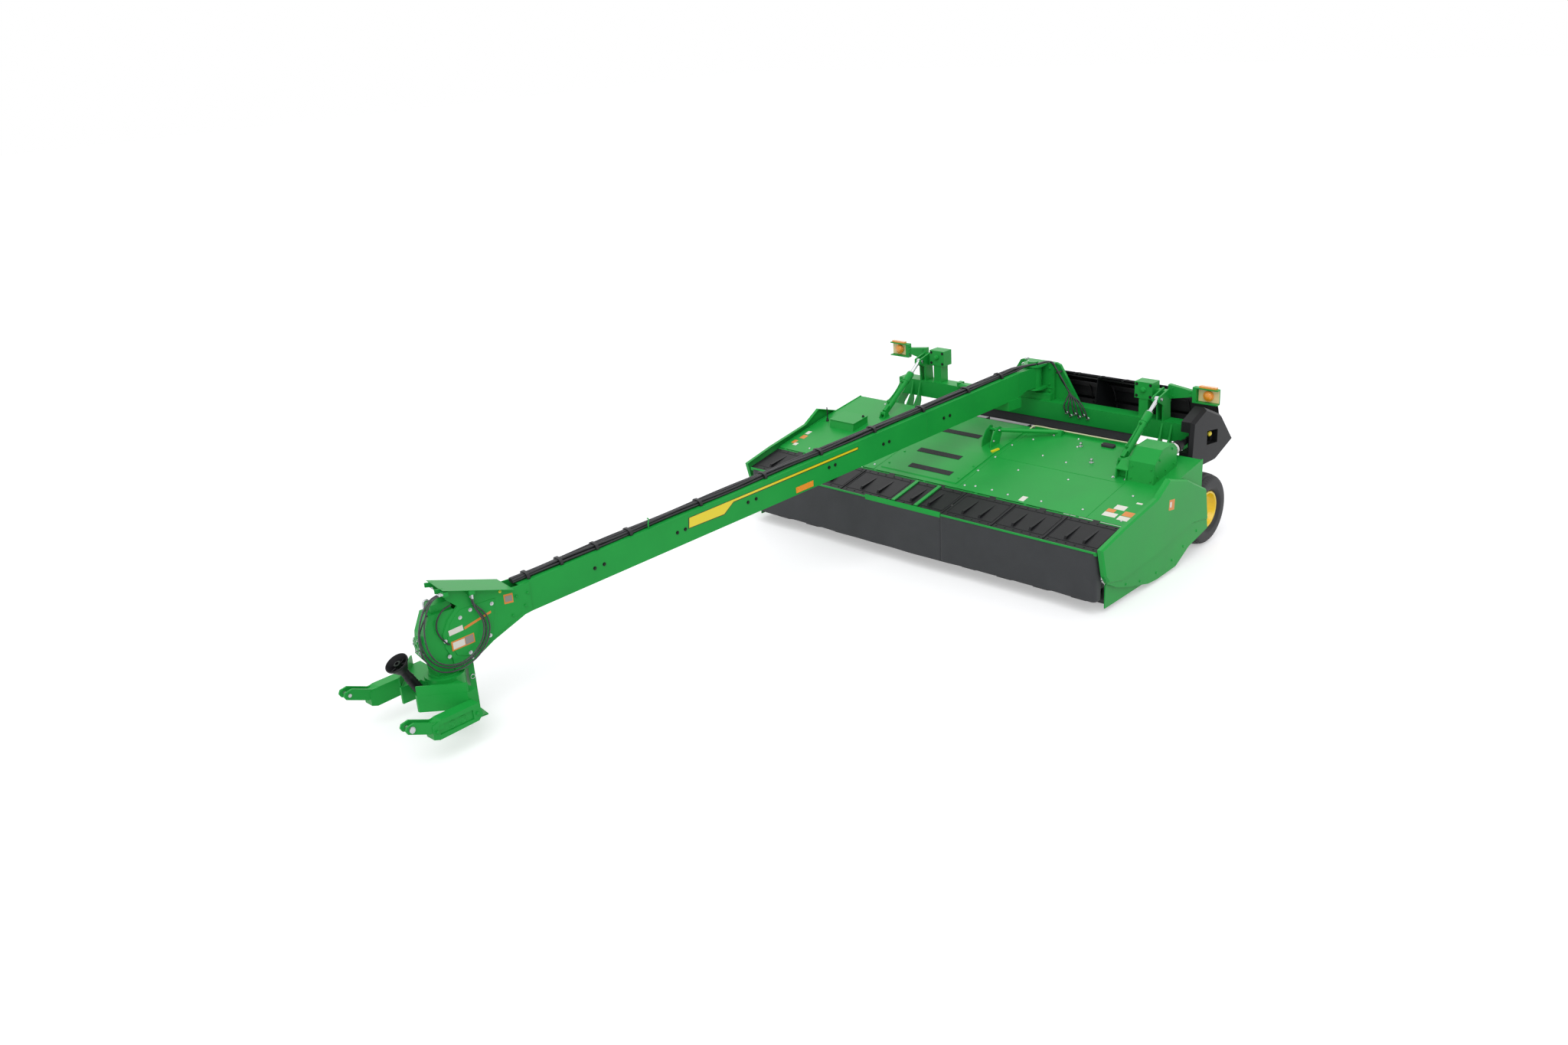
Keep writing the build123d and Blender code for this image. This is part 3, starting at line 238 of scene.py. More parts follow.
world = bpy.data.worlds.new("studio")
bpy.context.scene.world = world
world.use_nodes = True
tree = world.node_tree
tree.nodes.clear()
level = node(tree, "ShaderNodeMapRange", {"Value": seen_straight(tree), "To Min": 0.62, "To Max": 1.0})
sky = node(tree, "ShaderNodeBackground", {"Color": (1, 1, 1, 1), "Strength": level.outputs[0]})
node(tree, "ShaderNodeOutputWorld", {"Surface": sky.outputs[0]})

suns = [
    # name, direction it comes from, strength, angle of the softbox
    ("key_sun", (0.45, -0.55, 1.0), 1.25, 50),
    ("rear_sun", (-0.6, 0.9, 0.9), 0.3, 60),
]
for name, source, strength, angle in suns:
    light = bpy.data.lights.new(name, "SUN")
    light.energy = strength
    light.angle = math.radians(angle)
    lamp = bpy.data.objects.new(name, light)
    lamp.rotation_euler = (-Vector(source)).to_track_quat("-Z", "Y").to_euler()
    bpy.context.collection.objects.link(lamp)

# Green enamel
# The frame, deck and panels are welded steel sprayed with a two-pack enamel, which dries with a faint orange
# peel. The eye gets a broad soft highlight, a slightly uneven gloss and a paler tone where dust has settled.
enamel = surface("sprayed green enamel", {"Specular IOR Level": 0.22}, [
    ("Noise", {"Scale": 180, "Detail": 2}, {"relief": (0.05, 0.002)}),
    ("Noise", {"Scale": 1.3, "Detail": 5, "Roughness": 0.6},
     {"tint": ("12903A", "23AC46"), "gloss": (0.3, 0.45)}),
], slot="green_paint")


def finish(material, *names):
    """Gives carried-over frame nodes this material."""
    for name in names:
        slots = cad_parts[name].data.materials
        slots.clear()
        slots.append(material)


finish(enamel, *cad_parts)

# Black finishes of the carried-over nodes
# The drive cover, shaft guards and front shields are moulded polyethylene, matt with a fine sanded grain.
# The cutterbar and hood are steel in satin black paint, the discs hardened steel rubbed grey by the crop.
moulded = surface("moulded black polyethylene", {"Roughness": 0.46, "Specular IOR Level": 0.22}, [
    ("Noise", {"Scale": 260, "Detail": 4}, {"relief": (0.22, 0.001)}),
    ("Noise", {"Scale": 6, "Detail": 6, "Roughness": 0.7}, {"tint": ("0C0C0E", "1C1D20")}),
], slot="black_plastic")
finish(moulded, "drive_cover", "header_shaft", "pto_shaft", "shield_left", "shield_right")

satin_black = surface("satin black paint on steel", {}, [
    ("Noise", {"Scale": 5, "Detail": 6}, {"tint": ("151517", "222326"), "gloss": (0.32, 0.5)}),
])
finish(satin_black, "rear_hood", "cutterbar")

grit = surface("black grit tape", {"Roughness": 0.85}, [
    ("Voronoi", {"Scale": 420}, {"relief": (0.8, 0.002), "tint": ("3A3B3D", "101011")}),
])
finish(grit, "tread_strips")

disc_steel = surface("hardened steel rubbed by crop", {"Metallic": 0.8}, [
    ("Noise", {"Scale": 30, "Detail": 8, "Roughness": 0.75},
     {"tint": ("2A2B2C", "85868A"), "gloss": (0.5, 0.28)}),
])
finish(disc_steel, *(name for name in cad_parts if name.startswith("disc_")))

roll_rubber = surface("cast black polyurethane", {"Roughness": 0.58}, [
    ("Noise", {"Scale": 40, "Detail": 5}, {"relief": (0.3, 0.002), "tint": ("161616", "2C2D2B")}),
])
finish(roll_rubber, "lower_roll", "upper_roll")

# Bright metal
# Pins, bolts and ferrules are zinc plated, with a cool slightly hazy shine; the cylinder rods are hard
# chrome.
zinc = surface("zinc plated steel", {"Metallic": 1.0}, [
    ("Noise", {"Scale": 120, "Detail": 4}, {"tint": ("A9ADB0", "D6D8DA"), "gloss": (0.22, 0.4)}),
], slot="bright_steel")
finish(zinc, "link_pins")

chrome = surface("hard chromed rod", {"Base Color": srgb("DADDE0"), "Metallic": 1.0}, [
    ("Noise", {"Scale": 300, "Detail": 2}, {"gloss": (0.06, 0.16)}),
])
finish(chrome, "lift_rod_left", "lift_rod_right", "swing_rod")


def quads(rows, columns, rows_round=True, columns_round=False):
    """Faces between neighbouring points of a grid, closed up along a direction where it is round."""
    i, j = np.meshgrid(
        np.arange(rows if rows_round else rows - 1), np.arange(columns if columns_round else columns - 1),
        indexing="ij",
    )
    next_i, next_j = (i + 1) % rows, (j + 1) % columns
    corners = [i * columns + j, next_i * columns + j, next_i * columns + next_j, i * columns + next_j]
    return np.stack(corners, axis=-1).reshape(-1, 4)


def turned(profile, sides):
    """Profile points (out, along) taken round z: (out cos a, out sin a, along) at even steps of a."""
    out, along = np.asarray(profile, float).T
    turn = np.linspace(0, 2 * np.pi, sides, endpoint=False)
    grid = [np.outer(np.cos(turn), out), np.outer(np.sin(turn), out), np.tile(along, (sides, 1))]
    return np.stack(grid, axis=-1).reshape(-1, 3), quads(sides, len(out))


def joined(*shapes):
    """Several (points, faces) as one, the face numbers moved on past the points before them."""
    starts = np.cumsum([0] + [len(points) for points, faces in shapes[:-1]])
    return np.concatenate([points for points, faces in shapes]), [
        [corner + start for corner in face]
        for start, (points, faces) in zip(starts, shapes)
        for face in np.asarray(faces, dtype=object).tolist()
    ]


def set_out(shape, places, ways):
    """The shape at each place, its z axis along that place's way: place + x side + y up + z way."""
    points, faces = shape
    places, ways = np.atleast_2d(np.asarray(places, float)), np.atleast_2d(np.asarray(ways, float))
    ways = np.broadcast_to(ways / np.linalg.norm(ways, axis=1, keepdims=True), places.shape)
    level = np.where(np.abs(ways[:, 2:]) < 0.9, np.array((0, 0, 1.0)), np.array((1.0, 0, 0)))
    side = np.cross(level, ways)
    side /= np.linalg.norm(side, axis=1, keepdims=True)
    upward = np.cross(ways, side)
    basis = np.stack([side, upward, ways], axis=1)
    moved = places[:, None] + np.einsum("pi,nij->npj", points, basis)
    return joined(*((copy, faces) for copy in moved))


def piece(name, shape, material, body, slot=None, sharp=35):
    """A mesh object of (points, faces), doubles merged, faces outward, smooth below the sharp angle."""
    slot = slot or usual_slots[material.name]
    points, faces = shape
    mesh = bpy.data.meshes.new(name)
    mesh.from_pydata(np.asarray(points).tolist(), [], [list(map(int, face)) for face in faces])
    work = bmesh.new()
    work.from_mesh(mesh)
    bmesh.ops.remove_doubles(work, verts=work.verts, dist=1e-6)
    bmesh.ops.dissolve_degenerate(work, edges=work.edges, dist=1e-7)
    bmesh.ops.recalc_face_normals(work, faces=work.faces)
    work.to_mesh(mesh)
    work.free()
    mesh.polygons.foreach_set("use_smooth", np.ones(len(mesh.polygons), bool))
    mesh.set_sharp_from_angle(angle=math.radians(sharp))
    mesh.materials.append(material)
    made = bpy.data.objects.new(name, mesh)
    bpy.context.collection.objects.link(made)
    if body:
        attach(made, body)
    return made


def bolt_shape(across, high):
    """A hexagon head with a chamfered top on a round washer, standing on z = 0."""
    washer = turned([(0, 0), (across * 0.95, 0), (across * 0.95, 0.12 * high), (0, 0.12 * high)], 16)
    head = turned([(0, 0.1 * high), (across * 0.577, 0.1 * high), (across * 0.577, 0.85 * high),
                   (across * 0.48, high), (0, high)], 6)
    return joined(washer, head)


# Ferrules of the nose hoses
# Swaged steel sleeves, each with a crimped waist, where a hose leaves the clamp and where it enters its
# socket.
ferrule = turned([(0.008, 0), (0.0135, 0), (0.0145, 0.006), (0.0125, 0.012), (0.0125, 0.030), (0.0145, 0.036),
                  (0.0125, 0.042), (0.008, 0.044), (0.008, 0)], 14)
for number, (out, length, route) in enumerate(loop_routes, 1):
    ends = on_tongue([(out, swivel_ahead - behind, height) for behind, height in (route[0], route[-1])])
    ways = [straight_ahead, (0, 0, -1)]
    piece(f"nose_hose_ferrules_{number}", set_out(ferrule, ends, ways), zinc, "tongue")

# Hose bundle on the tongue
# Seven pressure hoses lie on the beam from the nose to the pivot, four below and three in the hollows above.
# Moulded clamps hold them down, and between clamps each wanders a little.
rubber_hose = surface("ribbed hydraulic rubber hose", {"Roughness": 0.42}, [
    ("Wave", {"Scale": 40, "Distortion": 1}, {"relief": (0.25, 0.001)}, {"bands_direction": "Y"}),
    ("Noise", {"Scale": 9, "Detail": 5}, {"tint": ("101012", "303236")}),
], slot="hose_rubber")


def piped(path, radius, sides=10):
    """A round tube: at each path point a ring of that radius, square to the path, both ends closed."""
    path = np.asarray(path, float)
    path = path[np.append(True, np.linalg.norm(np.diff(path, axis=0), axis=1) > 1e-6)]
    step = np.gradient(path, axis=0)
    step /= np.linalg.norm(step, axis=1, keepdims=True)
    level = np.eye(3)[np.argmin(np.abs(step).max(axis=0))]
    side = np.cross(level, step)
    side /= np.linalg.norm(side, axis=1, keepdims=True)
    upward = np.cross(step, side)
    turn = np.linspace(0, 2 * np.pi, sides, endpoint=False)[None, :, None]
    rows = np.concatenate([[0], np.arange(len(path)), [len(path) - 1]])
    sizes = np.concatenate([[0], np.full(len(path), radius), [0]])
    ring = np.cos(turn) * side[rows][:, None] + np.sin(turn) * upward[rows][:, None]
    grid = path[rows][:, None] + sizes[:, None, None] * ring
    return grid.reshape(-1, 3), quads(len(rows), sides, rows_round=False, columns_round=True)


def eased(points, count):
    """A smooth path through the points, by cubics whose slope at a point is half the step across it."""
    points = np.asarray(points, float)
    slopes = np.gradient(points, axis=0)
    at = np.linspace(0, len(points) - 1, count)
    low = np.minimum(at.astype(int), len(points) - 2)
    t = (at - low)[:, None]
    here, there, leave, arrive = points[low], points[low + 1], slopes[low], slopes[low + 1]
    return ((2 * t**3 - 3 * t**2 + 1) * here + (t**3 - 2 * t**2 + t) * leave
            + (3 * t**2 - 2 * t**3) * there + (t**3 - t**2) * arrive)


def tongue_top(ahead):
    """The height of the beam's top this far ahead of the pivot."""
    return 1.82 - 0.085 * ahead


beam_half = 0.1
bundle_radius = 0.0125
lanes = [(-0.045, 0), (-0.019, 0), (0.007, 0), (0.033, 0), (-0.032, 1), (-0.006, 1), (0.02, 1)]
ahead = np.linspace(7.38, 0.36, 90)
rest_on = tongue_top(ahead) + bundle_radius
for number, (lane, layer) in enumerate(lanes, 1):
    wander = 0.006 * np.sin(ahead * (2.1 + 0.37 * number) + 2.4 * number)
    rise = 0.004 * (1 + np.sin(ahead * (3.3 + 0.21 * number) + number)) + layer * 1.75 * bundle_radius
    over = np.stack([lane + wander, ahead, rest_on + rise], axis=-1)
    to_pivot = [(0.05 + 0.3 * lane, 0.2, 1.838 + 0.3 * layer * bundle_radius), (0.088, 0.05, 1.8385)]
    lane_path = np.concatenate([over, eased([over[-1], *to_pivot], 14)[1:]])
    hose = piece(f"beam_hose_{number}", piped(on_tongue(lane_path), bundle_radius), rubber_hose, "tongue",
                 sharp=60)
    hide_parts("tongue_hoses")

clamp_polymer = surface("black glass-filled nylon", {"Base Color": srgb("1A1B1D"), "Roughness": 0.5}, [
    ("Noise", {"Scale": 500, "Detail": 2}, {"relief": (0.2, 0.001)}),
], slot="black_plastic")


def carried(profile, path):
    """A closed (side, up) profile along a path: path point + side across + up square to both, ends capped."""
    profile, path = np.asarray(profile, float), np.asarray(path, float)
    step = np.gradient(path, axis=0)
    step /= np.linalg.norm(step, axis=1, keepdims=True)
    level = np.eye(3)[2] if np.abs(step[:, 2]).max() < 0.95 else np.eye(3)[1]
    side = np.cross(step, level)
    side /= np.linalg.norm(side, axis=1, keepdims=True)
    upward = np.cross(side, step)
    grid = path[:, None] + profile[None, :, :1] * side[:, None] + profile[None, :, 1:] * upward[:, None]
    faces = quads(len(path), len(profile), rows_round=False, columns_round=True).tolist()
    last = (len(path) - 1) * len(profile)
    caps = [list(range(len(profile)))[::-1], list(range(last, last + len(profile)))]
    return grid.reshape(-1, 3), faces + caps


clamp_arch = [(-0.072, 0), (-0.072, 0.03), (-0.06, 0.052), (-0.03, 0.062), (0.03, 0.062), (0.06, 0.052),
              (0.072, 0.03), (0.072, 0), (0.05, 0), (0.05, 0.028), (0.028, 0.048), (-0.028, 0.048),
              (-0.05, 0.028), (-0.05, 0)]
clamp_ahead = (7.22, 6.85, 6.44, 6.04, 5.17, 4.31, 3.52, 2.72, 1.95, 1.2, 0.62)
half_clamp = 0.016
clamps = [
    carried(clamp_arch, on_tongue([(-0.006, end, tongue_top(end))
                                   for end in (at + half_clamp, at - half_clamp)]))
    for at in clamp_ahead
]
piece("beam_hose_clamps", joined(*clamps), clamp_polymer, "tongue")
clamp_bolts = on_tongue([(x, at, tongue_top(at) + 0.03) for at in clamp_ahead for x in (-0.066, 0.054)])
piece("beam_clamp_bolts", set_out(bolt_shape(0.008, 0.010), clamp_bolts, (0, 0, 1)), zinc, "tongue")
hook = eased([(0.07, 5.84, tongue_top(5.84)), (0.07, 5.84, 1.375), (0.05, 5.82, 1.402), (0.02, 5.8, 1.405),
              (-0.02, 5.79, 1.40)], 16)
piece("beam_hose_hook", piped(on_tongue(hook), 0.007), enamel, "tongue")

# Marks on the beam
# A yellow vinyl film stripe that widens to a blank plate towards the front, and an amber reflector below it.
# Film is glossy with a faint ripple; the reflector shows the moulded prisms behind its face.


def vinyl(colour, hex_colour, roughness, coat=0):
    """A film of this colour, its face rippled by noise about 40 mm across."""
    sockets = {"Base Color": srgb(hex_colour), "Roughness": roughness, "Coat Weight": coat}
    ripple = ("Noise", {"Scale": 25, "Detail": 2}, {"relief": (0.04, 0.002)})
    return surface(f"{colour} vinyl film", sockets, [ripple])


yellow_film = vinyl("yellow", "F2DC1E", roughness=0.28, coat=0.3)
dark_film = vinyl("dark", "2F3A12", roughness=0.35)
amber = surface("moulded amber acrylic", {
    "Roughness": 0.12, "IOR": 1.49, "Coat Weight": 0.6, "Coat Roughness": 0.05,
}, [
    ("Voronoi", {"Scale": 130}, {"relief": (0.5, 0.002), "tint": ("FFAE30", "F0860E")}),
], slot="lens")


def plate(outline, origin, across, upward, thick, edge=0.0):
    """A flat plate: (across, upward) places laid from the origin, raised by its thickness, its rim eased."""
    outline, origin = np.asarray(outline, float), np.asarray(origin, float)
    across, upward = np.asarray(across, float), np.asarray(upward, float)
    out = np.cross(across, upward)
    middle = outline.mean(axis=0)
    reach = np.linalg.norm(outline - middle, axis=1, keepdims=True)
    drawn_in = middle + (outline - middle) * (1 - edge / reach)
    rings = [(outline, 0), (outline, thick - 0.6 * edge), (drawn_in, thick)]
    points = [origin + ring[:, :1] * across + ring[:, 1:] * upward + height * out for ring, height in rings]
    count = len(outline)
    faces = quads(3, count, rows_round=False, columns_round=True).tolist()
    return np.concatenate(points), faces + [list(range(count))[::-1], list(range(2 * count, 3 * count))]


def on_beam_side(points, out=beam_half, thick=0.0008):
    """A plate on the beam's left side, from places ahead of the pivot and above the ground."""
    return plate(points, on_tongue((out, 0, 0)), straight_ahead, (0, 0, 1), -thick)


film_edge = [(5.372, 1.318), (5.383, 1.196), (4.915, 1.222), (4.79, 1.324), (3.02, 1.468), (3.02, 1.505)]
film = [(5.36, 1.312), (5.371, 1.205), (4.92, 1.231), (4.79, 1.334), (3.03, 1.477), (3.03, 1.499)]
piece("beam_stripe_edge", on_beam_side(film_edge), dark_film, "tongue")
piece("beam_stripe", on_beam_side(film, beam_half + 0.0007), yellow_film, "tongue")
reflector = [(3.944, 1.197), (3.944, 1.262), (3.70, 1.283), (3.70, 1.218)]
piece("beam_reflector", on_beam_side(reflector, thick=0.006), amber, "tongue")

# Bolts through the beam
# Black oxidised bolts hold the drive shaft's bearings inside the beam, two side by side at each bearing.
oxide = surface("black oxidised steel", {"Base Color": srgb("16231A"), "Metallic": 0.5}, [
    ("Noise", {"Scale": 200, "Detail": 3}, {"gloss": (0.35, 0.55)}),
])
both_sides = (("left", 1), ("right", -1))
bolt_ahead = (6.52, 6.41, 5.52, 5.42, 4.6, 4.49, 3.46, 3.37, 2.64, 2.55, 1.67, 1.57)
across_way = on_tongue((1, 0, 0)) - on_tongue((0, 0, 0))
for side, sign in both_sides:
    spots = on_tongue([(sign * beam_half, at, tongue_top(at) - 0.155) for at in bolt_ahead])
    piece(f"beam_bolts_{side}", set_out(bolt_shape(0.021, 0.014), spots, sign * across_way), oxide, "tongue")

# Weld beads
# Every plate of the frame is joined by a fillet weld: a rope of small overlapping ripples, under the same
# enamel.
half_ripple = 0.0045


def bead(path, radius=0.006):
    """A weld bead: a six-sided tube along the path, every second ring swollen, so a ripple is 9 mm long."""
    path = np.asarray(path, float)
    count = max(8, int(np.linalg.norm(np.diff(path, axis=0), axis=1).sum() / half_ripple))
    at = np.linspace(0, len(path) - 1, count)
    line = np.stack([np.interp(at, np.arange(len(path)), path[:, axis]) for axis in range(3)], axis=-1)
    points, faces = piped(line, radius, 6)
    rings = points.reshape(-1, 6, 3)
    centre = rings.mean(axis=1, keepdims=True)
    swell = 1 + 0.22 * (np.arange(len(rings)) % 2)[:, None, None]
    return (centre + (rings - centre) * swell).reshape(-1, 3), faces


def from_rail(points):
    """Points given from the face of the front rail, moved to the frame."""
    return np.asarray(points, float) + (0, rail_y, 0)


beam_seams = [
    # ahead of the pivot, then the seam's two ends below the beam's top
    (1.95, 0.004, 0.306), (0.385, 0.004, 0.306), (7.36, 0.29, 0.02),
]
beam_beads = [
    bead(on_tongue([(sign * beam_half, at, tongue_top(at) - below) for below in ends]), 0.004)
    for at, *ends in beam_seams for sign in (1, -1)
]
piece("beam_welds", joined(*beam_beads), enamel, "tongue", sharp=60)
tower_face, tube_top = 2.716, 1.363
upright_beads = [
    bead(from_rail([(sign * 0.233, tower_face, z) for z in (1.365, 1.82)])) for sign in (1, -1)
]
level_seams = [
    # from and to across the machine, behind the rail, above the ground
    (-0.23, 0.23, tower_face, 1.505), (-0.56, -0.24, 2.757, tube_top), (0.24, 0.56, 2.757, tube_top),
    (-0.23, 0.23, 2.638, tube_top),
] + [
    (sign * x, sign * x_to, 2.628, tube_top)
    for sign in (1, -1) for x, x_to in ((1.455, 1.585), (1.70, 1.725), (1.775, 1.80))
]
level_beads = [bead(from_rail([(x, y, z), (x_to, y, z)])) for x, x_to, y, z in level_seams]
piece("carrier_welds", joined(*upright_beads, *level_beads), enamel, "carrier", sharp=60)

# Pivot tower dressing
# Bolts hold the tower's front and its top plate. Six hoses of the bundle go on past the pivot, pass a nylon
# saddle down the tower's left brace and end in bulkhead fittings on the cross tube.
tower_sides = from_rail([(x, tower_face, z) for x in (-0.17, 0.17) for z in (1.42, 1.47, 1.56, 1.76)])
piece("tower_bolts", set_out(bolt_shape(0.024, 0.016), tower_sides, (0, -1, 0)), enamel, "carrier")
plate_spots = [(-0.19, 2.74), (-0.19, 2.78), (0.19, 2.74), (-0.105, 2.66), (-0.1, 2.53)]
plate_bolts = from_rail([(x, y, 1.8253) for x, y in plate_spots])
piece("tower_top_bolts", set_out(bolt_shape(0.022, 0.014), plate_bolts, (0, 0, 1)), zinc, "carrier")
hose_ends = [(0.50, 1.30), (0.56, 1.27), (0.62, 1.30), (0.68, 1.27), (0.74, 1.30), (0.80, 1.27)]
for number, (end_x, end_z) in enumerate(hose_ends, 1):
    spread = 0.011 * number
    run = [
        (0.088 + 0.2 * spread, 2.55, 1.8385), (0.10 + 0.4 * spread, 2.66, 1.8405),
        (0.16 + 0.6 * spread, 2.72, 1.8395), (0.262 + 0.2 * spread, 2.700 - 0.2 * spread, 1.78),
        (0.345 + 0.7 * spread, 2.705 - 0.4 * spread, 1.63),
        (0.46 + 0.6 * spread, 2.69 - 0.3 * spread, 1.51 - 0.4 * spread),
        (0.47 + 0.7 * (end_x - 0.47), 2.60 - 0.5 * spread, 1.43), (end_x - 0.02, 2.555, end_z + 0.06),
        (end_x, 2.558, end_z), (end_x, 2.575, end_z - 0.03), (end_x, 2.592, end_z - 0.035),
    ]
    hose = piece(f"tower_hose_{number}", piped(from_rail(eased(run, 70)), 0.0095), rubber_hose, None,
                 sharp=60)
    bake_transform(hose)
fitting = turned([(0, 0), (0.02, 0), (0.02, 0.008), (0.014, 0.012), (0.014, 0.03), (0.0115, 0.034),
                  (0, 0.034)], 12)
fitting_spots = from_rail([(x, 2.5999, z - 0.035) for x, z in hose_ends])
piece("tower_hose_fittings", set_out(fitting, fitting_spots, (0, -1, 0)), zinc, "carrier")
saddle_arch = [(-0.05, 0), (-0.05, 0.03), (0.05, 0.03), (0.05, 0), (0.042, 0), (0.042, 0.024),
               (-0.042, 0.024), (-0.042, 0)]
saddle = carried(saddle_arch, from_rail([(0.29, 2.71, 1.735), (0.297, 2.71, 1.715)]))
piece("tower_hose_saddle", saddle, clamp_polymer, "carrier")

# Front shields and rail lip
# Two green steel straps divide the black panels beside the middle, held by cap screws, and a deeper lip
# stiffens the rail beside the split. Each moulded panel has a swage round it, and screws run along the front
# and rear edges.


def shield_top(y):
    """The height of the shield's top face this far from the front rail."""
    return np.interp(y, (0.004, 0.516), (0.742, 0.843))


def side_outline(outline, x_from, x_to, edge=0.001):
    """A plate seen from the machine's side, its (y, z) outline standing across from one x to the other."""
    outline = np.asarray(outline, float)
    return plate(outline, from_rail((x_from, 0, 0)), (0, 1, 0), (0, 0, 1), x_to - x_from, edge)


strap_ends = ((0.03, -0.002), (0.505, -0.002), (0.505, 0.014), (0.03, 0.014))
strap = [(y, shield_top(y) + raised) for y, raised in strap_ends]
straps = [side_outline(strap, x, x + 0.045) for x in (-0.235, 0.09)]
lip = [(-0.010, 0.700), (0.0005, 0.700), (0.0005, 0.755), (-0.006, 0.764), (-0.010, 0.755)]
lips = [side_outline(lip, -0.6, 0.494)]
ledge = [(-0.010, 0.722), (0.0005, 0.722), (0.0005, 0.7425), (-0.010, 0.7425)]
lips += [side_outline(ledge, -2.49, -0.6)]
piece("shield_straps_right", joined(*straps, *lips), enamel, "front_lid_right")
piece("rail_lip_left", side_outline(ledge, 0.506, 2.488), enamel, "front_lid_left")
cap_screw = turned([(0, 0), (0.011, 0), (0.009, 0.005), (0.004, 0.0065), (0, 0.0065)], 12)
swage_in, swage_front, swage_rear = 0.03, 0.075, 0.455
lid_spans = (("left", 0.505, 2.488, 3), ("right", -2.488, 0.495, 4))
for name, x_from, x_to, panels in lid_spans:
    along = np.linspace(x_from + 0.06, x_to - 0.06, panels * 6)
    screws = from_rail([(x, y, shield_top(y)) for x in along for y in (0.045, 0.492)])
    piece(f"shield_screws_{name}", set_out(cap_screw, screws, (0, -0.193, 1)), oxide, f"front_lid_{name}")
    edges = np.linspace(x_from, x_to, panels + 1)
    frames = []
    for left_edge, right_edge in zip(edges, edges[1:]):
        left, right = left_edge + swage_in, right_edge - swage_in
        corners = np.array([(left, swage_front), (right, swage_front), (right, swage_rear),
                            (left, swage_rear), (left, swage_front)])
        line = np.concatenate([np.linspace(a, b, 12) for a, b in zip(corners, corners[1:])])
        frames.append(bead(from_rail(np.column_stack([line, shield_top(line[:, 1])])), 0.0035))
    piece(f"shield_panel_swages_{name}", joined(*frames), moulded, f"front_lid_{name}", "black_paint",
          sharp=70)

# Front curtain
# A sheet of fabric-reinforced rubber hangs from the rail on each side of the split, 5 mm thick, matt and
# dark grey. Its weight pulls it straight, with slow waves that grow towards the free lower edge.
curtain_rubber = surface("fabric reinforced rubber sheet", {
    "Roughness": 0.66, "Sheen Weight": 0.08, "Sheen Roughness": 0.6, "Specular IOR Level": 0.3,
}, [
    ("Wave", {"Scale": 160, "Distortion": 1}, {"relief": (0.12, 0.001)}, {"bands_direction": "Z"}),
    ("Noise", {"Scale": 3, "Detail": 6, "Roughness": 0.6}, {"tint": ("2C2E30", "3D3F42")}),
], slot="curtain_rubber")


def thicken(sheet, thickness):
    """Gives a sheet its thickness, half of it on each side."""
    body = sheet.modifiers.new("thickness", "SOLIDIFY")
    body.thickness = thickness
    body.offset = 0


corner, tail, drop = 0.05, 0.06, 0.562
curtain_top, columns, rows = 0.731, 110, 20
for name, sign, inner, outer in (("left", 1, 0.5015, 2.486), ("right", -1, 0.4985, -2.486)):
    straight = abs(outer - inner) - corner
    width = straight + corner * np.pi / 2 + tail
    along, share = np.meshgrid(np.linspace(0, width, columns), np.linspace(0, 1, rows), indexing="ij")
    # Seen from above the sheet runs straight, goes a quarter round the end's corner and straight back.
    angle = np.clip((along - straight) / corner, 0, np.pi / 2)
    past = np.maximum(along - straight - corner * np.pi / 2, 0)
    x = inner + sign * (np.minimum(along, straight) + corner * np.sin(angle))
    back = corner * (1 - np.cos(angle)) + past
    wave = 0.004 * np.sin(x * 5.3) + 0.003 * np.sin(x * 11.7 + 1)
    front = -0.004 + share**1.3 * (0.006 - wave) - 0.012 * share * np.cos(x * 1.9)
    hung = np.stack([x, front * np.cos(angle) + back, curtain_top - drop * share], axis=-1)
    shape = from_rail(hung.reshape(-1, 3)), quads(columns, rows, rows_round=False)
    curtain = piece(f"curtain_sheet_{name}", shape, curtain_rubber, f"front_lid_{name}", sharp=80)
    thicken(curtain, 0.005)
    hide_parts(f"curtain_{name}")

# Painted shade behind the deck
# Two dark strips of the same rubber, 4 mm thick, hang under the cross tube. They are painted shade: dark
# sheets put where the space behind the deck lies in shade, so that it looks dark.
shade_sheet_top, shade_sheet_drop, shade_sheet_back = 1.138, 0.112, 2.612
columns, rows = 60, 8
along, share = np.meshgrid(np.linspace(0, 1, columns), np.linspace(0, 1, rows), indexing="ij")
for name, x_from, x_to in (("right", -1.40, -0.001), ("left", 0.001, 1.40)):
    x = x_from + (x_to - x_from) * along
    y = shade_sheet_back - 0.012 * share**2 + 0.003 * share * np.sin(x * 9)
    hung = np.stack([x, y, shade_sheet_top - shade_sheet_drop * share], axis=-1)
    shape = from_rail(hung.reshape(-1, 3)), quads(columns, rows, rows_round=False)
    # each strip is a dark sheet standing in for the shade behind the deck, not a real part
    shade_sheet = piece(f"painted_shade_sheet_{name}", shape, curtain_rubber, "carrier", sharp=80)
    thicken(shade_sheet, 0.004)

# Deck dressing
# Dome-headed bolts and welded seams follow the sheet joints, and a cream pressure pipe lies on the rear lip.
# A rubber pad lies on each half and two grease caps on the left one; blank vinyl films are stuck to both
# ends.


def deck_top(y):
    """The height of the deck's top face this far from the front rail."""
    return np.interp(y, (0.565, 1.35, 2.2), (0.846, 1.0, 1.13))


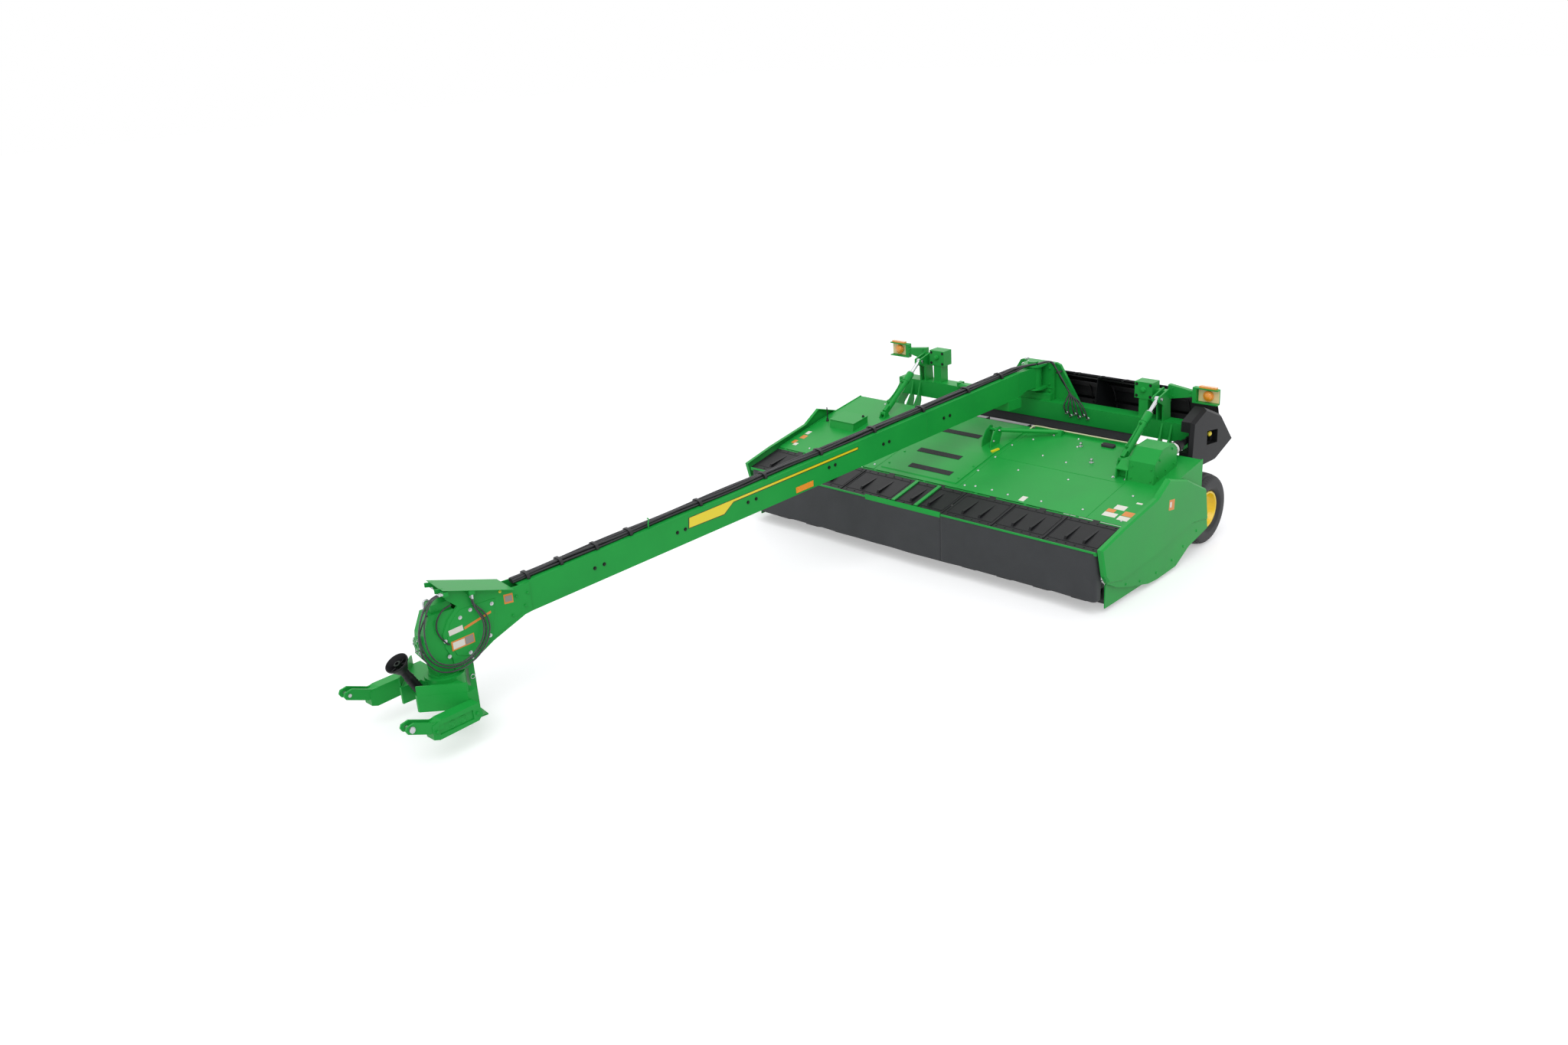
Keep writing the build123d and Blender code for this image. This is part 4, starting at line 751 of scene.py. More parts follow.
dome = turned([(0, 0), (0.015, 0), (0.0145, 0.004), (0.011, 0.008), (0.005, 0.010), (0, 0.0104)], 14)
deck_bolts = [(0.36, 0.65), (0.49, 0.68), (0.72, 0.68), (1.385, 0.676), (1.9, 0.7), (0.74, 1.18), (1.40, 1.2),
              (0.95, 0.66), (0.45, 1.93), (1.05, 1.95), (1.15, 1.55), (0.80, 1.60), (0.62, 2.12),
              (0.95, 2.14), (1.28, 2.14), (1.85, 2.12), (0.30, 1.0), (0.30, 1.35), (0.30, 1.7), (0.30, 2.1),
              (2.25, 1.15), (2.4, 0.65), (-1.0, 0.66), (-1.35, 0.68), (-1.7, 0.68), (-2.1, 0.68), (-1.0, 1.2),
              (-1.0, 1.6), (-1.0, 2.05), (-1.4, 1.2), (-1.4, 2.1), (-2.0, 2.1)]
places = from_rail([(x, y, deck_top(y)) for x, y in deck_bolts])
piece("deck_bolts", set_out(dome, places, (0, -0.17, 1)), zinc, "platform")
raised_bolts = from_rail([(x, y, deck_top(y) + 0.01) for x in (-0.84, 0.2)
                          for y in (0.75, 1.05, 1.45, 1.8, 2.12)])
piece("deck_panel_bolts", set_out(dome, raised_bolts, (0, -0.17, 1)), enamel, "platform")
seams = [[(x, y, deck_top(y) + 0.0005) for y in (0.575, 1.35, 2.19)] for x in (0.30, -0.94, 2.02)]
seams += [[(x, 1.352, 1.0008) for x in span] for span in ((-2.5, -0.9), (0.26, 2.0))]
deck_seams = [bead(from_rail(line), 0.0025) for line in seams]
piece("deck_seams", joined(*deck_seams), enamel, "platform", sharp=70)

cream = surface("cream powder coated pipe", {"Roughness": 0.4}, [
    ("Noise", {"Scale": 90, "Detail": 3}, {"tint": ("C9C9A0", "DDDDB8")}),
])
pipe_run = [(0.27, 2.12, 1.136), (0.28, 2.17, 1.155), (0.32, 2.198, 1.167), (0.6, 2.198, 1.167),
            (1.3, 2.198, 1.167), (1.74, 2.198, 1.167), (1.78, 2.17, 1.155), (1.79, 2.12, 1.136)]
piece("deck_pipe", piped(from_rail(eased(pipe_run, 90)), 0.009), cream, "platform", sharp=60)

pad_rubber = surface("moulded black rubber pad", {"Base Color": srgb("1D1D1F"), "Roughness": 0.7}, [
    ("Voronoi", {"Scale": 220}, {"relief": (0.3, 0.001)}),
], slot="curtain_rubber")
pad_outline = [(-0.075, -0.035), (0.075, -0.035), (0.085, -0.02), (0.085, 0.02), (0.075, 0.035),
               (-0.075, 0.035), (-0.085, 0.02), (-0.085, -0.02)]
pad_back = 2.10
pads = [
    plate(pad_outline, from_rail((x, pad_back, deck_top(pad_back) - 0.004)), (1, 0, 0), (0, 0.988, 0.151),
          0.034, 0.008)
    for x in (1.38, -1.38)
]
piece("deck_pads", joined(*pads), pad_rubber, "platform", sharp=50)
grease_cap = turned([(0, -0.004), (0.028, -0.004), (0.028, 0.008), (0.012, 0.012), (0.012, 0.034),
                     (0.019, 0.038), (0.016, 0.048), (0, 0.05)], 18)
cap_places = from_rail([(x, y, deck_top(y)) for x, y in ((1.42, 1.66), (1.08, 1.98))])
piece("deck_grease_caps", set_out(grease_cap, cap_places, (0, 0, 1)), zinc, "platform")

white_film = vinyl("white", "E4E2D8", roughness=0.32)
orange_film = vinyl("orange", "E0862A", roughness=0.32)


def deck_film(x_from, x_to, y_from, y_to):
    """A film on the deck between these places, following its slope."""
    corners = np.array([(x_from, y_from), (x_to, y_from), (x_to, y_to), (x_from, y_to)])
    middle = corners.mean(axis=0)
    slope = (deck_top(middle[1] + 0.01) - deck_top(middle[1] - 0.01)) / 0.02
    stretch = math.hypot(1, slope)
    outline = (corners - middle) * (1, stretch)
    upward = np.array((0, 1, slope)) / stretch
    return plate(outline, from_rail((*middle, deck_top(middle[1]))), (1, 0, 0), upward, 0.0012)


white_spans = [(2.14, 2.30, 0.68, 0.76), (2.33, 2.47, 0.66, 0.74), (2.19, 2.32, 0.84, 0.93),
               (1.13, 1.20, 0.60, 0.70), (2.36, 2.43, 1.02, 1.05), (-2.45, -2.39, 0.98, 1.06),
               (-2.40, -2.34, 0.68, 0.74)]
orange_spans = [(2.14, 2.24, 0.765, 0.83), (2.34, 2.46, 0.75, 0.84), (-2.44, -2.36, 0.86, 0.95),
                (-2.46, -2.40, 0.72, 0.80)]
for name, film, spans in (("white", white_film, white_spans), ("orange", orange_film, orange_spans)):
    piece(f"deck_films_{name}", joined(*(deck_film(*span) for span in spans)), film, "platform")

# Steady and raised box dressing
# The steady's leaf plates are pinned through, with a yellow wear block at the foot. The box at the right end
# has a lid and a catch, and a marker rod stands in a nylon foot beside it.
block_outline = [(-0.055, -0.014), (0.055, -0.014), (0.055, 0.014), (-0.055, 0.014)]
block_at = from_rail((0.215, 1.47, deck_top(1.47) + 0.0095))
yellow_block = plate(block_outline, block_at, (0.35, 0.93, 0.142), (-0.93, 0.35, 0.05), 0.02, 0.004)
piece("steady_block", yellow_block, yellow_film, "platform")
steady_low = deck_top(1.62) + 0.01
pin_at = [(x, y, steady_low + z) for y, z in ((1.68, 0.165), (1.56, 0.06)) for x in (-0.0105, 0.1305)]
pins = set_out(bolt_shape(0.02, 0.014), from_rail(pin_at), [(-1, 0, 0), (1, 0, 0)] * 2)
piece("steady_bolts", pins, zinc, "platform")
box_lid = [(1.262, 1.077), (1.558, 1.113), (1.556, 1.121), (1.26, 1.085)]
piece("box_lid", side_outline(box_lid, -2.257, -1.843, 0.003), enamel, "platform")
catch = turned([(0, 0), (0.02, 0), (0.02, 0.012), (0.012, 0.018), (0.012, 0.028), (0, 0.03)], 16)
piece("box_catch", set_out(catch, from_rail((-1.88, 1.5, 1.108)), (0, -0.12, 1)), oxide, "platform")
marker_line = [(-2.40, 1.38, 1.0), (-2.40, 1.382, 1.08), (-2.403, 1.384, 1.14), (-2.408, 1.386, 1.19)]
marker_foot = turned([(0, 0), (0.02, 0), (0.018, 0.02), (0.012, 0.03), (0.012, 0.05), (0, 0.052)], 16)
marker = joined(piped(from_rail(eased(marker_line, 20)), 0.007),
                set_out(marker_foot, from_rail(marker_line[0]), (0, 0, 1)))
piece("marker_rod", marker, clamp_polymer, "platform", sharp=50)

# End panels
# Pressed sheet with screws along its lower edge, and an orange film with a smaller white one on it at the
# middle.
panel_film = [(1.34, 0.80), (1.46, 0.78), (1.47, 0.90), (1.35, 0.92)]
panel_blank = [(1.36, 0.83), (1.40, 0.823), (1.405, 0.885), (1.365, 0.892)]
panel_screws = [(0.5, 0.225), (0.8, 0.155), (1.15, 0.13), (1.5, 0.16), (1.75, 0.24), (2.05, 0.33)]
for name, sign in both_sides:
    spots = from_rail([(sign * 2.562, y, z) for y, z in panel_screws])
    piece(f"end_panel_screws_{name}", set_out(dome, spots, (sign, 0, 0)), enamel, "platform")
    origin = from_rail((sign * 2.5797, 0, 0))
    for part, outline, film, thick in (("film", panel_film, orange_film, 0.0005),
                                       ("blank", panel_blank, white_film, 0.0007)):
        shape = plate(outline, origin, (0, 1, 0), (0, 0, 1), sign * thick)
        piece(f"end_panel_{part}_{name}", shape, film, "platform")

# Gearbox housing on the deck
# A folded box bolted down through a flange in two rows, with bolts in its outer side and front and welded
# corners.
flange_bolts = from_rail([(x, y, deck_top(y)) for x in (1.83, 1.98) for y in (1.44, 1.58, 1.72)])
header_bolt = bolt_shape(0.019, 0.013)
piece("header_flange_bolts", set_out(header_bolt, flange_bolts, (0, -0.15, 1)), zinc, "platform")
side_spots = ((1.52, 1.09), (1.70, 1.12), (1.88, 1.15), (1.56, 1.27), (1.84, 1.33))
side_bolts = from_rail([(2.3299, y, z) for y, z in side_spots])
front_bolts = from_rail([(x, 1.4415 + (z - deck_top(1.44)) * 0.14, z) for x in (2.05, 2.29)
                         for z in (1.05, 1.18)])
housing_bolts = joined(set_out(header_bolt, side_bolts, (1, 0, 0)),
                       set_out(header_bolt, front_bolts, (0, -1, 0.14)))
piece("header_housing_bolts", housing_bolts, enamel, "platform")
housing_line = [(1.44, 1.02), (1.47, 1.24), (1.62, 1.37), (1.86, 1.385), (1.95, 1.31)]
housing_beads = [bead(from_rail([(x, y, z) for y, z in housing_line]), 0.004) for x in (2.012, 2.328)]
piece("header_housing_welds", joined(*housing_beads), enamel, "platform", sharp=60)

# Lift cylinders
# Each barrel ends in a bright gland above a sleeve, has two welded ports, and carries a steel pipe along its
# back. Turned caps close the pin that hangs it from its post.
ram_out = 1.75
foot, top = np.array((1.772, 1.112)), np.array((2.537, 1.643))
stroke = (top - foot) / np.linalg.norm(top - foot)
gland = turned([(0.026, -0.05), (0.047, -0.05), (0.047, -0.012), (0.043, -0.006), (0.043, 0.0),
                (0.036, 0.006), (0.026, 0.006), (0.026, -0.05)], 32)
port = turned([(0, -0.01), (0.018, -0.01), (0.018, 0.022), (0.013, 0.026), (0.013, 0.04), (0, 0.042)], 14)
sleeve = turned([(0.027, 0.56), (0.05, 0.56), (0.05, 0.70), (0.046, 0.706), (0.027, 0.706), (0.027, 0.56)],
                32)
eye_cap = turned([(0, 0), (0.024, 0), (0.024, 0.004), (0.016, 0.007), (0.016, 0.016), (0, 0.018)], 20)
half_eye = 0.0479
back_pipe = [
    # share of the way up the cylinder, out from its axis
    (0.55, 0.07), (0.53, 0.082), (0.49, 0.068), (0.4, 0.056), (0.3, 0.056), (0.2, 0.068), (0.17, 0.082),
    (0.16, 0.07),
]
way, raised = (0, *stroke), (0, -stroke[1], stroke[0])


def on_ram(sign, share, out=0.0):
    """A place this share of the way up one side's cylinder, raised square to it."""
    y, z = foot + share * (top - foot) + out * np.array((-stroke[1], stroke[0]))
    return from_rail((sign * ram_out, y, z))


for name, sign in both_sides:
    barrel = f"lift_barrel_{name}"
    piece(f"lift_gland_{name}", set_out(gland, on_ram(sign, 0.772), way), zinc, barrel)
    ports = set_out(port, [on_ram(sign, share, 0.044) for share in (0.16, 0.55)], raised)
    piece(f"lift_ports_{name}", ports, enamel, barrel)
    pipe = eased([on_ram(sign, share, out) for share, out in back_pipe], 50)
    piece(f"lift_pipe_{name}", piped(pipe, 0.007), enamel, barrel, sharp=60)
    piece(f"lift_sleeve_{name}", set_out(sleeve, on_ram(sign, 0), way), enamel, barrel)
    cap_spots = from_rail([(sign * (ram_out + half_eye), *top), (sign * (ram_out - half_eye), *top)])
    caps = set_out(eye_cap, cap_spots, [(sign, 0, 0), (-sign, 0, 0)])
    piece(f"post_pin_caps_{name}", caps, zinc, "carrier")

# Posts and lamps
# Each post's head is a bolted box with a turned boss, and an arm is bolted beside it. The arm carries a cream
# enamelled plate with a round amber lens in its bezel.
lamp_enamel = surface("cream enamelled lamp plate", {"Base Color": srgb("F0D8A0")}, [
    ("Noise", {"Scale": 60, "Detail": 2}, {"gloss": (0.25, 0.4)}),
], slot="lens")
finish(amber, "lamps")
boss = turned([(0, 0), (0.035, 0), (0.035, 0.012), (0.026, 0.018), (0.026, 0.03), (0.012, 0.036), (0, 0.036)],
              24)
lens = turned([(0.05, -0.028), (0.056, -0.028), (0.056, 0.002), (0.05, 0.004), (0.046, 0.012), (0.034, 0.019),
               (0.018, 0.023), (0, 0.024)], 40)
bezel = turned([(0.054, -0.028), (0.062, -0.028), (0.062, 0.0), (0.058, 0.005), (0.054, 0.003),
                (0.054, -0.028)], 40)
post_face, forward = 2.62, (0, -1, 0)
arm_spots = ((1.84, 1.64), (1.84, 1.74), (2.06, 1.68), (2.06, 1.72))
plate_corners = ((2.137, 1.617), (2.39, 1.617), (2.39, 1.768), (2.137, 1.768))
for name, sign in both_sides:
    head = from_rail((sign * 1.52, post_face, 1.70))
    piece(f"post_boss_{name}", set_out(boss, head, forward), enamel, "carrier")
    corners = from_rail([(sign * x, post_face, z) for x in (1.43, 1.61) for z in (1.62, 1.76)])
    piece(f"post_bolts_{name}", set_out(bolt_shape(0.02, 0.013), corners, forward), oxide, "carrier")
    arm_bolts = set_out(bolt_shape(0.019, 0.012), from_rail([(sign * x, 2.7299, z) for x, z in arm_spots]),
                        forward)
    piece(f"arm_bolts_{name}", arm_bolts, enamel, "carrier")
    outline = [(sign * x, z) for x, z in plate_corners]
    lamp_plate = plate(outline, from_rail((0, 2.7895, 0)), (1, 0, 0), (0, 0, 1), 0.006)
    piece(f"lamp_plate_{name}", lamp_plate, lamp_enamel, "carrier")
    lens_middle = from_rail((sign * 2.265, 2.761, 1.692))
    for part, shape in (("lens", lens), ("bezel", bezel)):
        piece(f"lamp_{part}_{name}", set_out(shape, lens_middle, forward), amber, "carrier")

# Drive cover
# The moulding is stiffened by round swages along it and ribs across. Its left end cap has a raised rim and a
# small yellow lamp.
cover = np.array([(2.870, 1.700), (3.060, 1.640), (3.250, 1.440), (3.390, 1.040)])
swages = []
for low, high in zip(cover, cover[1:]):
    for share in (0.28, 0.72):
        out = np.array((low[1] - high[1], high[0] - low[0])) / np.linalg.norm(high - low)
        y, z = low + share * (high - low) + 0.002 * np.abs(out)
        swages.append(piped(from_rail([(x, y, z) for x in np.linspace(0.09, 2.13, 24)]), 0.011, 8))
piece("cover_swages", joined(*swages), moulded, "carrier", sharp=60)
ribs = [
    piped(from_rail(np.column_stack([np.full(40, x), eased([*cover], 40) - (0.014, 0.004)])), 0.014, 8)
    for x in np.linspace(0.10, 2.12, 7)
]
piece("cover_ribs", joined(*ribs), moulded, "carrier", sharp=60)
edge_bolts = from_rail([(x, 2.874, 1.688) for x in np.linspace(0.2, 2.0, 7)])
piece("cover_bolts", set_out(bolt_shape(0.019, 0.012), edge_bolts, (0, -0.3, 0.95)), oxide, "carrier")
lamp = turned([(0, 0), (0.03, 0), (0.03, 0.012), (0.022, 0.02), (0, 0.023)], 24)
piece("cover_lamp", set_out(lamp, from_rail((2.25, 2.87, 1.215)), (1, -0.2, 0.1)), yellow_film, "carrier",
      "lens")
cap_edge = np.array([(2.36, 1.48), (2.66, 1.59), (3.06, 1.41), (3.39, 1.03), (2.94, 0.87), (2.45, 0.89),
                     (2.33, 1.04), (2.36, 1.48)])
cap_middle, cap_face, drawn_in = np.array((2.8, 1.22)), 2.262, 0.98
rim_line = np.concatenate([np.linspace(a, b, 12) for a, b in zip(cap_edge, cap_edge[1:])])
rim_line = cap_middle + (rim_line - cap_middle) * drawn_in
rim = bead(from_rail(np.column_stack([np.full(len(rim_line), cap_face), rim_line])), 0.007)
piece("cover_cap_rim", rim, moulded, "carrier", sharp=70)

# Header drive shaft
# A steel tube in a plastic guard; the universal joint at the gearbox has a ribbed cone, and a white bearing
# collar.
white_nylon = surface("white nylon bearing", {"Roughness": 0.4, "Subsurface Weight": 0.1}, [
    ("Noise", {"Scale": 80, "Detail": 3}, {"tint": ("CFCFCB", "ECECEA")}),
])
shaft_slope = 0.054
shaft_way = np.array((0, 1, shaft_slope)) / math.hypot(1, shaft_slope)
collar = turned([(0.034, 0), (0.066, 0), (0.07, 0.008), (0.07, 0.03), (0.062, 0.04), (0.04, 0.05),
                 (0.034, 0.05), (0.034, 0)], 32)
collar_at = from_rail((2.2, 2.095, 1.2255))
piece("shaft_collar", set_out(collar, collar_at, shaft_way), white_nylon, "header_shaft")
cone_rings, ring_step = 9, 0.013
cone = [(0.034, 0.05)]
cone += [(0.068 - 0.0025 * (i // 2) + 0.004 * (i % 2), 0.055 + ring_step * i) for i in range(cone_rings)]
cone += [(0.034, 0.055 + ring_step * cone_rings), (0.034, 0.05)]
piece("shaft_cone", set_out(turned(cone, 36), collar_at, shaft_way), moulded, "header_shaft", sharp=50)
band = turned([(0.032, 0), (0.037, 0), (0.037, 0.02), (0.032, 0.02)], 24)
bands = set_out(band, [collar_at + shaft_way * at for at in (0.24, 0.36, 0.44)], shaft_way)
piece("shaft_bands", bands, moulded, "header_shaft")

# Wheels
# Implement tyres with five rounded ribs and diagonal cuts at the shoulders, on steel disc wheels in yellow
# enamel.
tyre_rubber = surface("natural rubber tyre", {}, [
    ("Noise", {"Scale": 12, "Detail": 6, "Roughness": 0.65},
     {"relief": (0.15, 0.002), "tint": ("141416", "2B2C2E"), "gloss": (0.45, 0.7)}),
], slot="tyre")
rim_yellow = surface("sprayed yellow enamel", {"Roughness": 0.32, "Coat Weight": 0.25}, [
    ("Noise", {"Scale": 180, "Detail": 2}, {"relief": (0.05, 0.002)}),
    ("Noise", {"Scale": 8, "Detail": 4}, {"tint": ("F2C400", "FFDE0A")}),
], slot="rim_yellow")

round_count, across_count = 216, 60
tyre_radius, half_tyre, bead_radius = 0.424, 0.164, 0.205
crown_ribs, shoulder_cuts = 5, 54
around, share = np.meshgrid(
    np.linspace(0, 2 * np.pi, round_count, endpoint=False), np.linspace(-1, 1, across_count), indexing="ij",
)
# The section is a squared circle from bead to bead. Four grooves part the five ribs of the crown, diagonal
# cuts cross each shoulder 54 times a turn, and two thin rings stand on each side.
arc = share * 2.35
across = half_tyre * np.sin(arc)
section = np.sign(np.cos(arc)) * np.abs(np.cos(arc)) ** 0.55
middle_radius = (tyre_radius + bead_radius) / 2
radius = np.maximum(middle_radius + (tyre_radius - middle_radius) * section, bead_radius)
crown = np.clip((np.cos(arc) - 0.25) / 0.2, 0, 1)
groove = np.clip(np.cos(across / half_tyre * crown_ribs * np.pi) * -4 - 2.6, 0, 1)
shoulder = np.clip((np.abs(across) / half_tyre - 0.55) / 0.1, 0, 1)
cut = shoulder * np.clip(np.cos(around * shoulder_cuts + np.abs(across) * 70) * 4 - 1.8, 0, 1)
radius = radius - crown * (0.011 * groove + 0.009 * cut * (1 - groove))
side_ring = 0.0022 * (np.exp(-((radius - 0.33) / 0.006) ** 2) + np.exp(-((radius - 0.27) / 0.005) ** 2))
across = np.clip(across + np.sign(across) * side_ring * (1 - crown), -half_tyre, half_tyre)
rim_profile = [(0.2055, -0.13), (0.219, -0.134), (0.224, -0.128), (0.219, -0.122), (0.207, -0.116),
               (0.198, -0.08), (0.172, -0.05), (0.172, 0.05), (0.198, 0.08), (0.207, 0.116), (0.219, 0.122),
               (0.224, 0.128), (0.219, 0.134), (0.2, 0.132), (0.188, 0.11), (0.178, 0.078), (0.162, 0.062),
               (0.14, 0.05), (0.12, 0.022), (0.1, 0.014), (0.08, 0.03), (0.066, 0.046), (0.045, 0.048),
               (0.0335, 0.048), (0.0335, -0.09), (0.058, -0.092), (0.06, -0.02), (0.1, 0.004), (0.15, 0.028),
               (0.16, -0.04), (0.188, -0.09), (0.2, -0.132), (0.2055, -0.13)]
hub_cap = turned([(0, 0.062), (0.02, 0.062), (0.034, 0.056), (0.04, 0.046), (0.0335, 0.044),
                  (0.0335, 0.0465)], 32)
nut_count, nut_circle = 8, 0.102
nut_turn = np.linspace(0, 2 * np.pi, nut_count, endpoint=False)
wheel_out, wheel_back, wheel_high = 2.33, 2.49, 0.425
for name, sign in both_sides:
    hub = from_rail((sign * wheel_out, wheel_back, wheel_high))
    grid = hub + np.stack([sign * across, radius * np.cos(around), radius * np.sin(around)], axis=-1)
    tyre = piece(f"tyre_tread_{name}", (grid.reshape(-1, 3), quads(round_count, across_count)), tyre_rubber,
                 f"wheel_{name}", sharp=50)
    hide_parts(f"tyre_{name}")
    disc = set_out(turned(rim_profile, 96), hub, (sign, 0, 0))
    wheel = piece(f"wheel_disc_{name}", disc, rim_yellow, f"wheel_{name}")
    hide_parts(f"rim_{name}")
    piece(f"wheel_cap_{name}", set_out(hub_cap, hub, (sign, 0, 0)), zinc, f"wheel_{name}")
    nut_ring = [np.full(nut_count, sign * 0.016), nut_circle * np.cos(nut_turn),
                nut_circle * np.sin(nut_turn)]
    nuts = set_out(bolt_shape(0.021, 0.018), hub + np.stack(nut_ring, axis=-1), (sign, 0, 0))
    piece(f"wheel_nuts_{name}", nuts, zinc, f"wheel_{name}")
    valve = hub + np.array([(sign * 0.07, 0, 0.165), (sign * 0.09, 0, 0.163), (sign * 0.115, 0, 0.166)])
    piece(f"wheel_valve_{name}", piped(valve, 0.004, 8), oxide, f"wheel_{name}")

# Nose dressing
# The cheek plates carry cap screws with bright heads, blank vinyl plates and a grease tag; the roof's front
# has two parking cups for the hose couplings, and a short hose crosses the gearbox's front.


def on_nose(points):
    """Points given across, behind the swivel and above the ground."""
    points = np.asarray(points, float)
    return on_tongue(np.stack([points[..., 0], swivel_ahead - points[..., 1], points[..., 2]], axis=-1))


def nose_film(outline, out, thick=0.0008):
    """A film on the nose's left side, its outline behind the swivel and above the ground."""
    return plate(outline, on_nose((out, 0, 0)), -straight_ahead, (0, 0, 1), thick)


screws = [(0.19, 1.076), (0.014, 0.893), (0.03, 0.731), (0.30, 1.12), (0.52, 1.11), (0.46, 0.80),
          (0.24, 0.70)]
nose_bolt, cheek_out = bolt_shape(0.02, 0.014), 0.112
more = [(0.78, 1.10), (0.90, 1.10), (0.86, 0.98), (0.14, 0.60), (0.72, 0.92)]
for name, sign in both_sides:
    bright = set_out(nose_bolt, on_nose([(sign * 0.117, b, z) for b, z in screws]), sign * across_way)
    piece(f"nose_screws_{name}", bright, zinc, "tongue")
    painted = set_out(nose_bolt, on_nose([(sign * cheek_out, b, z) for b, z in more]), sign * across_way)
    piece(f"nose_bolts_{name}", painted, enamel, "tongue")
piece("nose_film_white", joined(
    nose_film([(0.055, 0.985), (0.20, 1.0), (0.205, 0.945), (0.06, 0.93)], 0.1172),
    nose_film([(0.08, 0.855), (0.20, 0.862), (0.20, 0.795), (0.08, 0.785)], 0.1176),
), white_film, "tongue")
piece("nose_film_orange", joined(
    nose_film([(0.065, 0.868), (0.30, 0.885), (0.30, 0.79), (0.065, 0.772)], 0.1172),
    nose_film([(0.215, 0.972), (0.50, 1.045), (0.50, 1.022), (0.215, 0.945)], 0.1172),
    nose_film([(0.65, 1.155), (0.745, 1.148), (0.745, 1.05), (0.65, 1.058)], 0.1122),
), orange_film, "tongue")
grey_film = vinyl("grey", "8E8C84", roughness=0.35)
piece("nose_film_grey", joined(
    nose_film([(0.66, 1.135), (0.735, 1.13), (0.735, 1.07), (0.66, 1.076)], 0.1131),
    nose_film([(0.205, 0.87), (0.29, 0.876), (0.29, 0.80), (0.205, 0.793)], 0.1181),
), grey_film, "tongue")
tag = turned([(0, 0), (0.014, 0), (0.014, 0.004), (0.006, 0.008), (0.006, 0.02), (0, 0.022)], 14)
piece("nose_grease_tag", set_out(tag, on_nose((cheek_out, 0.62, 1.2)), across_way), yellow_film, "tongue")
nose_seams = [
    # out from the middle, radius of the bead, then the places behind the swivel and above the ground
    (0.0995, 0.005, [(0.18, 1.195), (0.07, 1.09), (0.0, 0.96), (0.01, 0.82), (0.06, 0.70)]),
    (0.1125, 0.0045, [(0.56, 1.15), (0.20, 1.15), (0.09, 1.05), (0.04, 0.90), (0.11, 0.72), (0.26, 0.66),
                      (0.48, 0.79), (0.56, 1.15)]),
    (cheek_out, 0.004, [(0.16, 0.58), (0.46, 0.745), (0.82, 0.92)]),
]
nose_beads = [
    bead(on_nose([(sign * out, behind, height) for behind, height in line]), radius)
    for out, radius, line in nose_seams for sign in (1, -1)
]
piece("nose_welds", joined(*nose_beads), enamel, "tongue", sharp=60)

front_bearing = turned([(0.0, 0.026), (0.02, 0.026), (0.02, 0.034), (0.05, 0.034), (0.05, 0.027),
                        (0.062, 0.027), (0.062, 0.02), (0, 0.02)], 28)
front_way = straight_ahead - (0, 0, 0.0476)
front_at = on_nose((0, -0.19, 0.89))
piece("nose_bearing_cover", set_out(front_bearing, front_at, front_way), enamel, "tongue")
bolt_count, bolt_circle = 6, 0.074
turn = np.linspace(0, 2 * np.pi, bolt_count, endpoint=False)
bolt_ring = [bolt_circle * np.cos(turn), np.full(bolt_count, -0.2155), 0.886 + bolt_circle * np.sin(turn)]
bearing_bolts = set_out(bolt_shape(0.017, 0.012), on_nose(np.stack(bolt_ring, axis=-1)), front_way)
piece("nose_bearing_bolts", bearing_bolts, zinc, "tongue")
cross_hose = [(0.075, -0.10, 1.183), (0.076, -0.118, 1.172), (0.072, -0.165, 1.10), (0.066, -0.20, 1.01),
              (0.078, -0.216, 0.90), (0.084, -0.215, 0.80), (0.07, -0.17, 0.725), (0.05, -0.145, 0.69),
              (0.045, -0.12, 0.68)]
piece("nose_cross_hose", piped(on_nose(eased(cross_hose, 60)), 0.007), rubber_hose, "tongue", sharp=60)
side_hose = [(0.127, 0.12, 1.235), (0.126, 0.03, 1.205), (0.126, -0.035, 1.13), (0.126, -0.055, 1.04),
             (0.126, -0.03, 0.95), (0.126, 0.02, 0.875), (0.119, 0.045, 0.85)]
piece("nose_side_hose", piped(on_nose(eased(side_hose, 60)), 0.0075), rubber_hose, "tongue", sharp=60)
elbow = [(-0.03, -0.02, 1.262), (-0.03, -0.045, 1.285), (-0.025, -0.075, 1.28), (-0.02, -0.085, 1.24),
         (-0.02, -0.082, 1.178)]
piece("nose_elbow", piped(on_nose(eased(elbow, 30)), 0.011), zinc, "tongue", sharp=60)
cup = turned([(0.012, 0), (0.02, 0), (0.022, 0.006), (0.022, 0.034), (0.016, 0.04), (0.012, 0.04),
              (0.012, 0)], 18)
cups = on_nose([(-0.13, 0.10, 1.35), (-0.155, 0.10, 1.35)])
piece("nose_parking_cups", set_out(cup, cups, straight_ahead), zinc, "tongue")

# Parking stand
# Turned caps close the pin that the leg folds on, and a pull ring hangs on a stub at the leg's left side.
stand_ahead, ring_radius = 7.93, 0.022
pin_cap = turned([(0, 0), (0.022, 0), (0.022, 0.005), (0.01, 0.01), (0, 0.011)], 18)
stand_pin = on_tongue([(x, stand_ahead, 0.645) for x in (-0.108, 0.108)])
piece("stand_pin_caps", set_out(pin_cap, stand_pin, [-across_way, across_way]), zinc, "tongue")
turn = np.linspace(0, 2 * np.pi, 32)
loop = [np.full(32, 0.052), stand_ahead + ring_radius * np.cos(turn), 0.42 + ring_radius * np.sin(turn)]
stub = on_tongue([(0.03, stand_ahead, 0.44), (0.054, stand_ahead, 0.442), (0.056, stand_ahead, 0.443)])
stand_ring = joined(piped(on_tongue(np.stack(loop, axis=-1)), 0.003, 8), piped(stub, 0.006, 10))
piece("stand_ring", stand_ring, zinc, "stand", sharp=60)

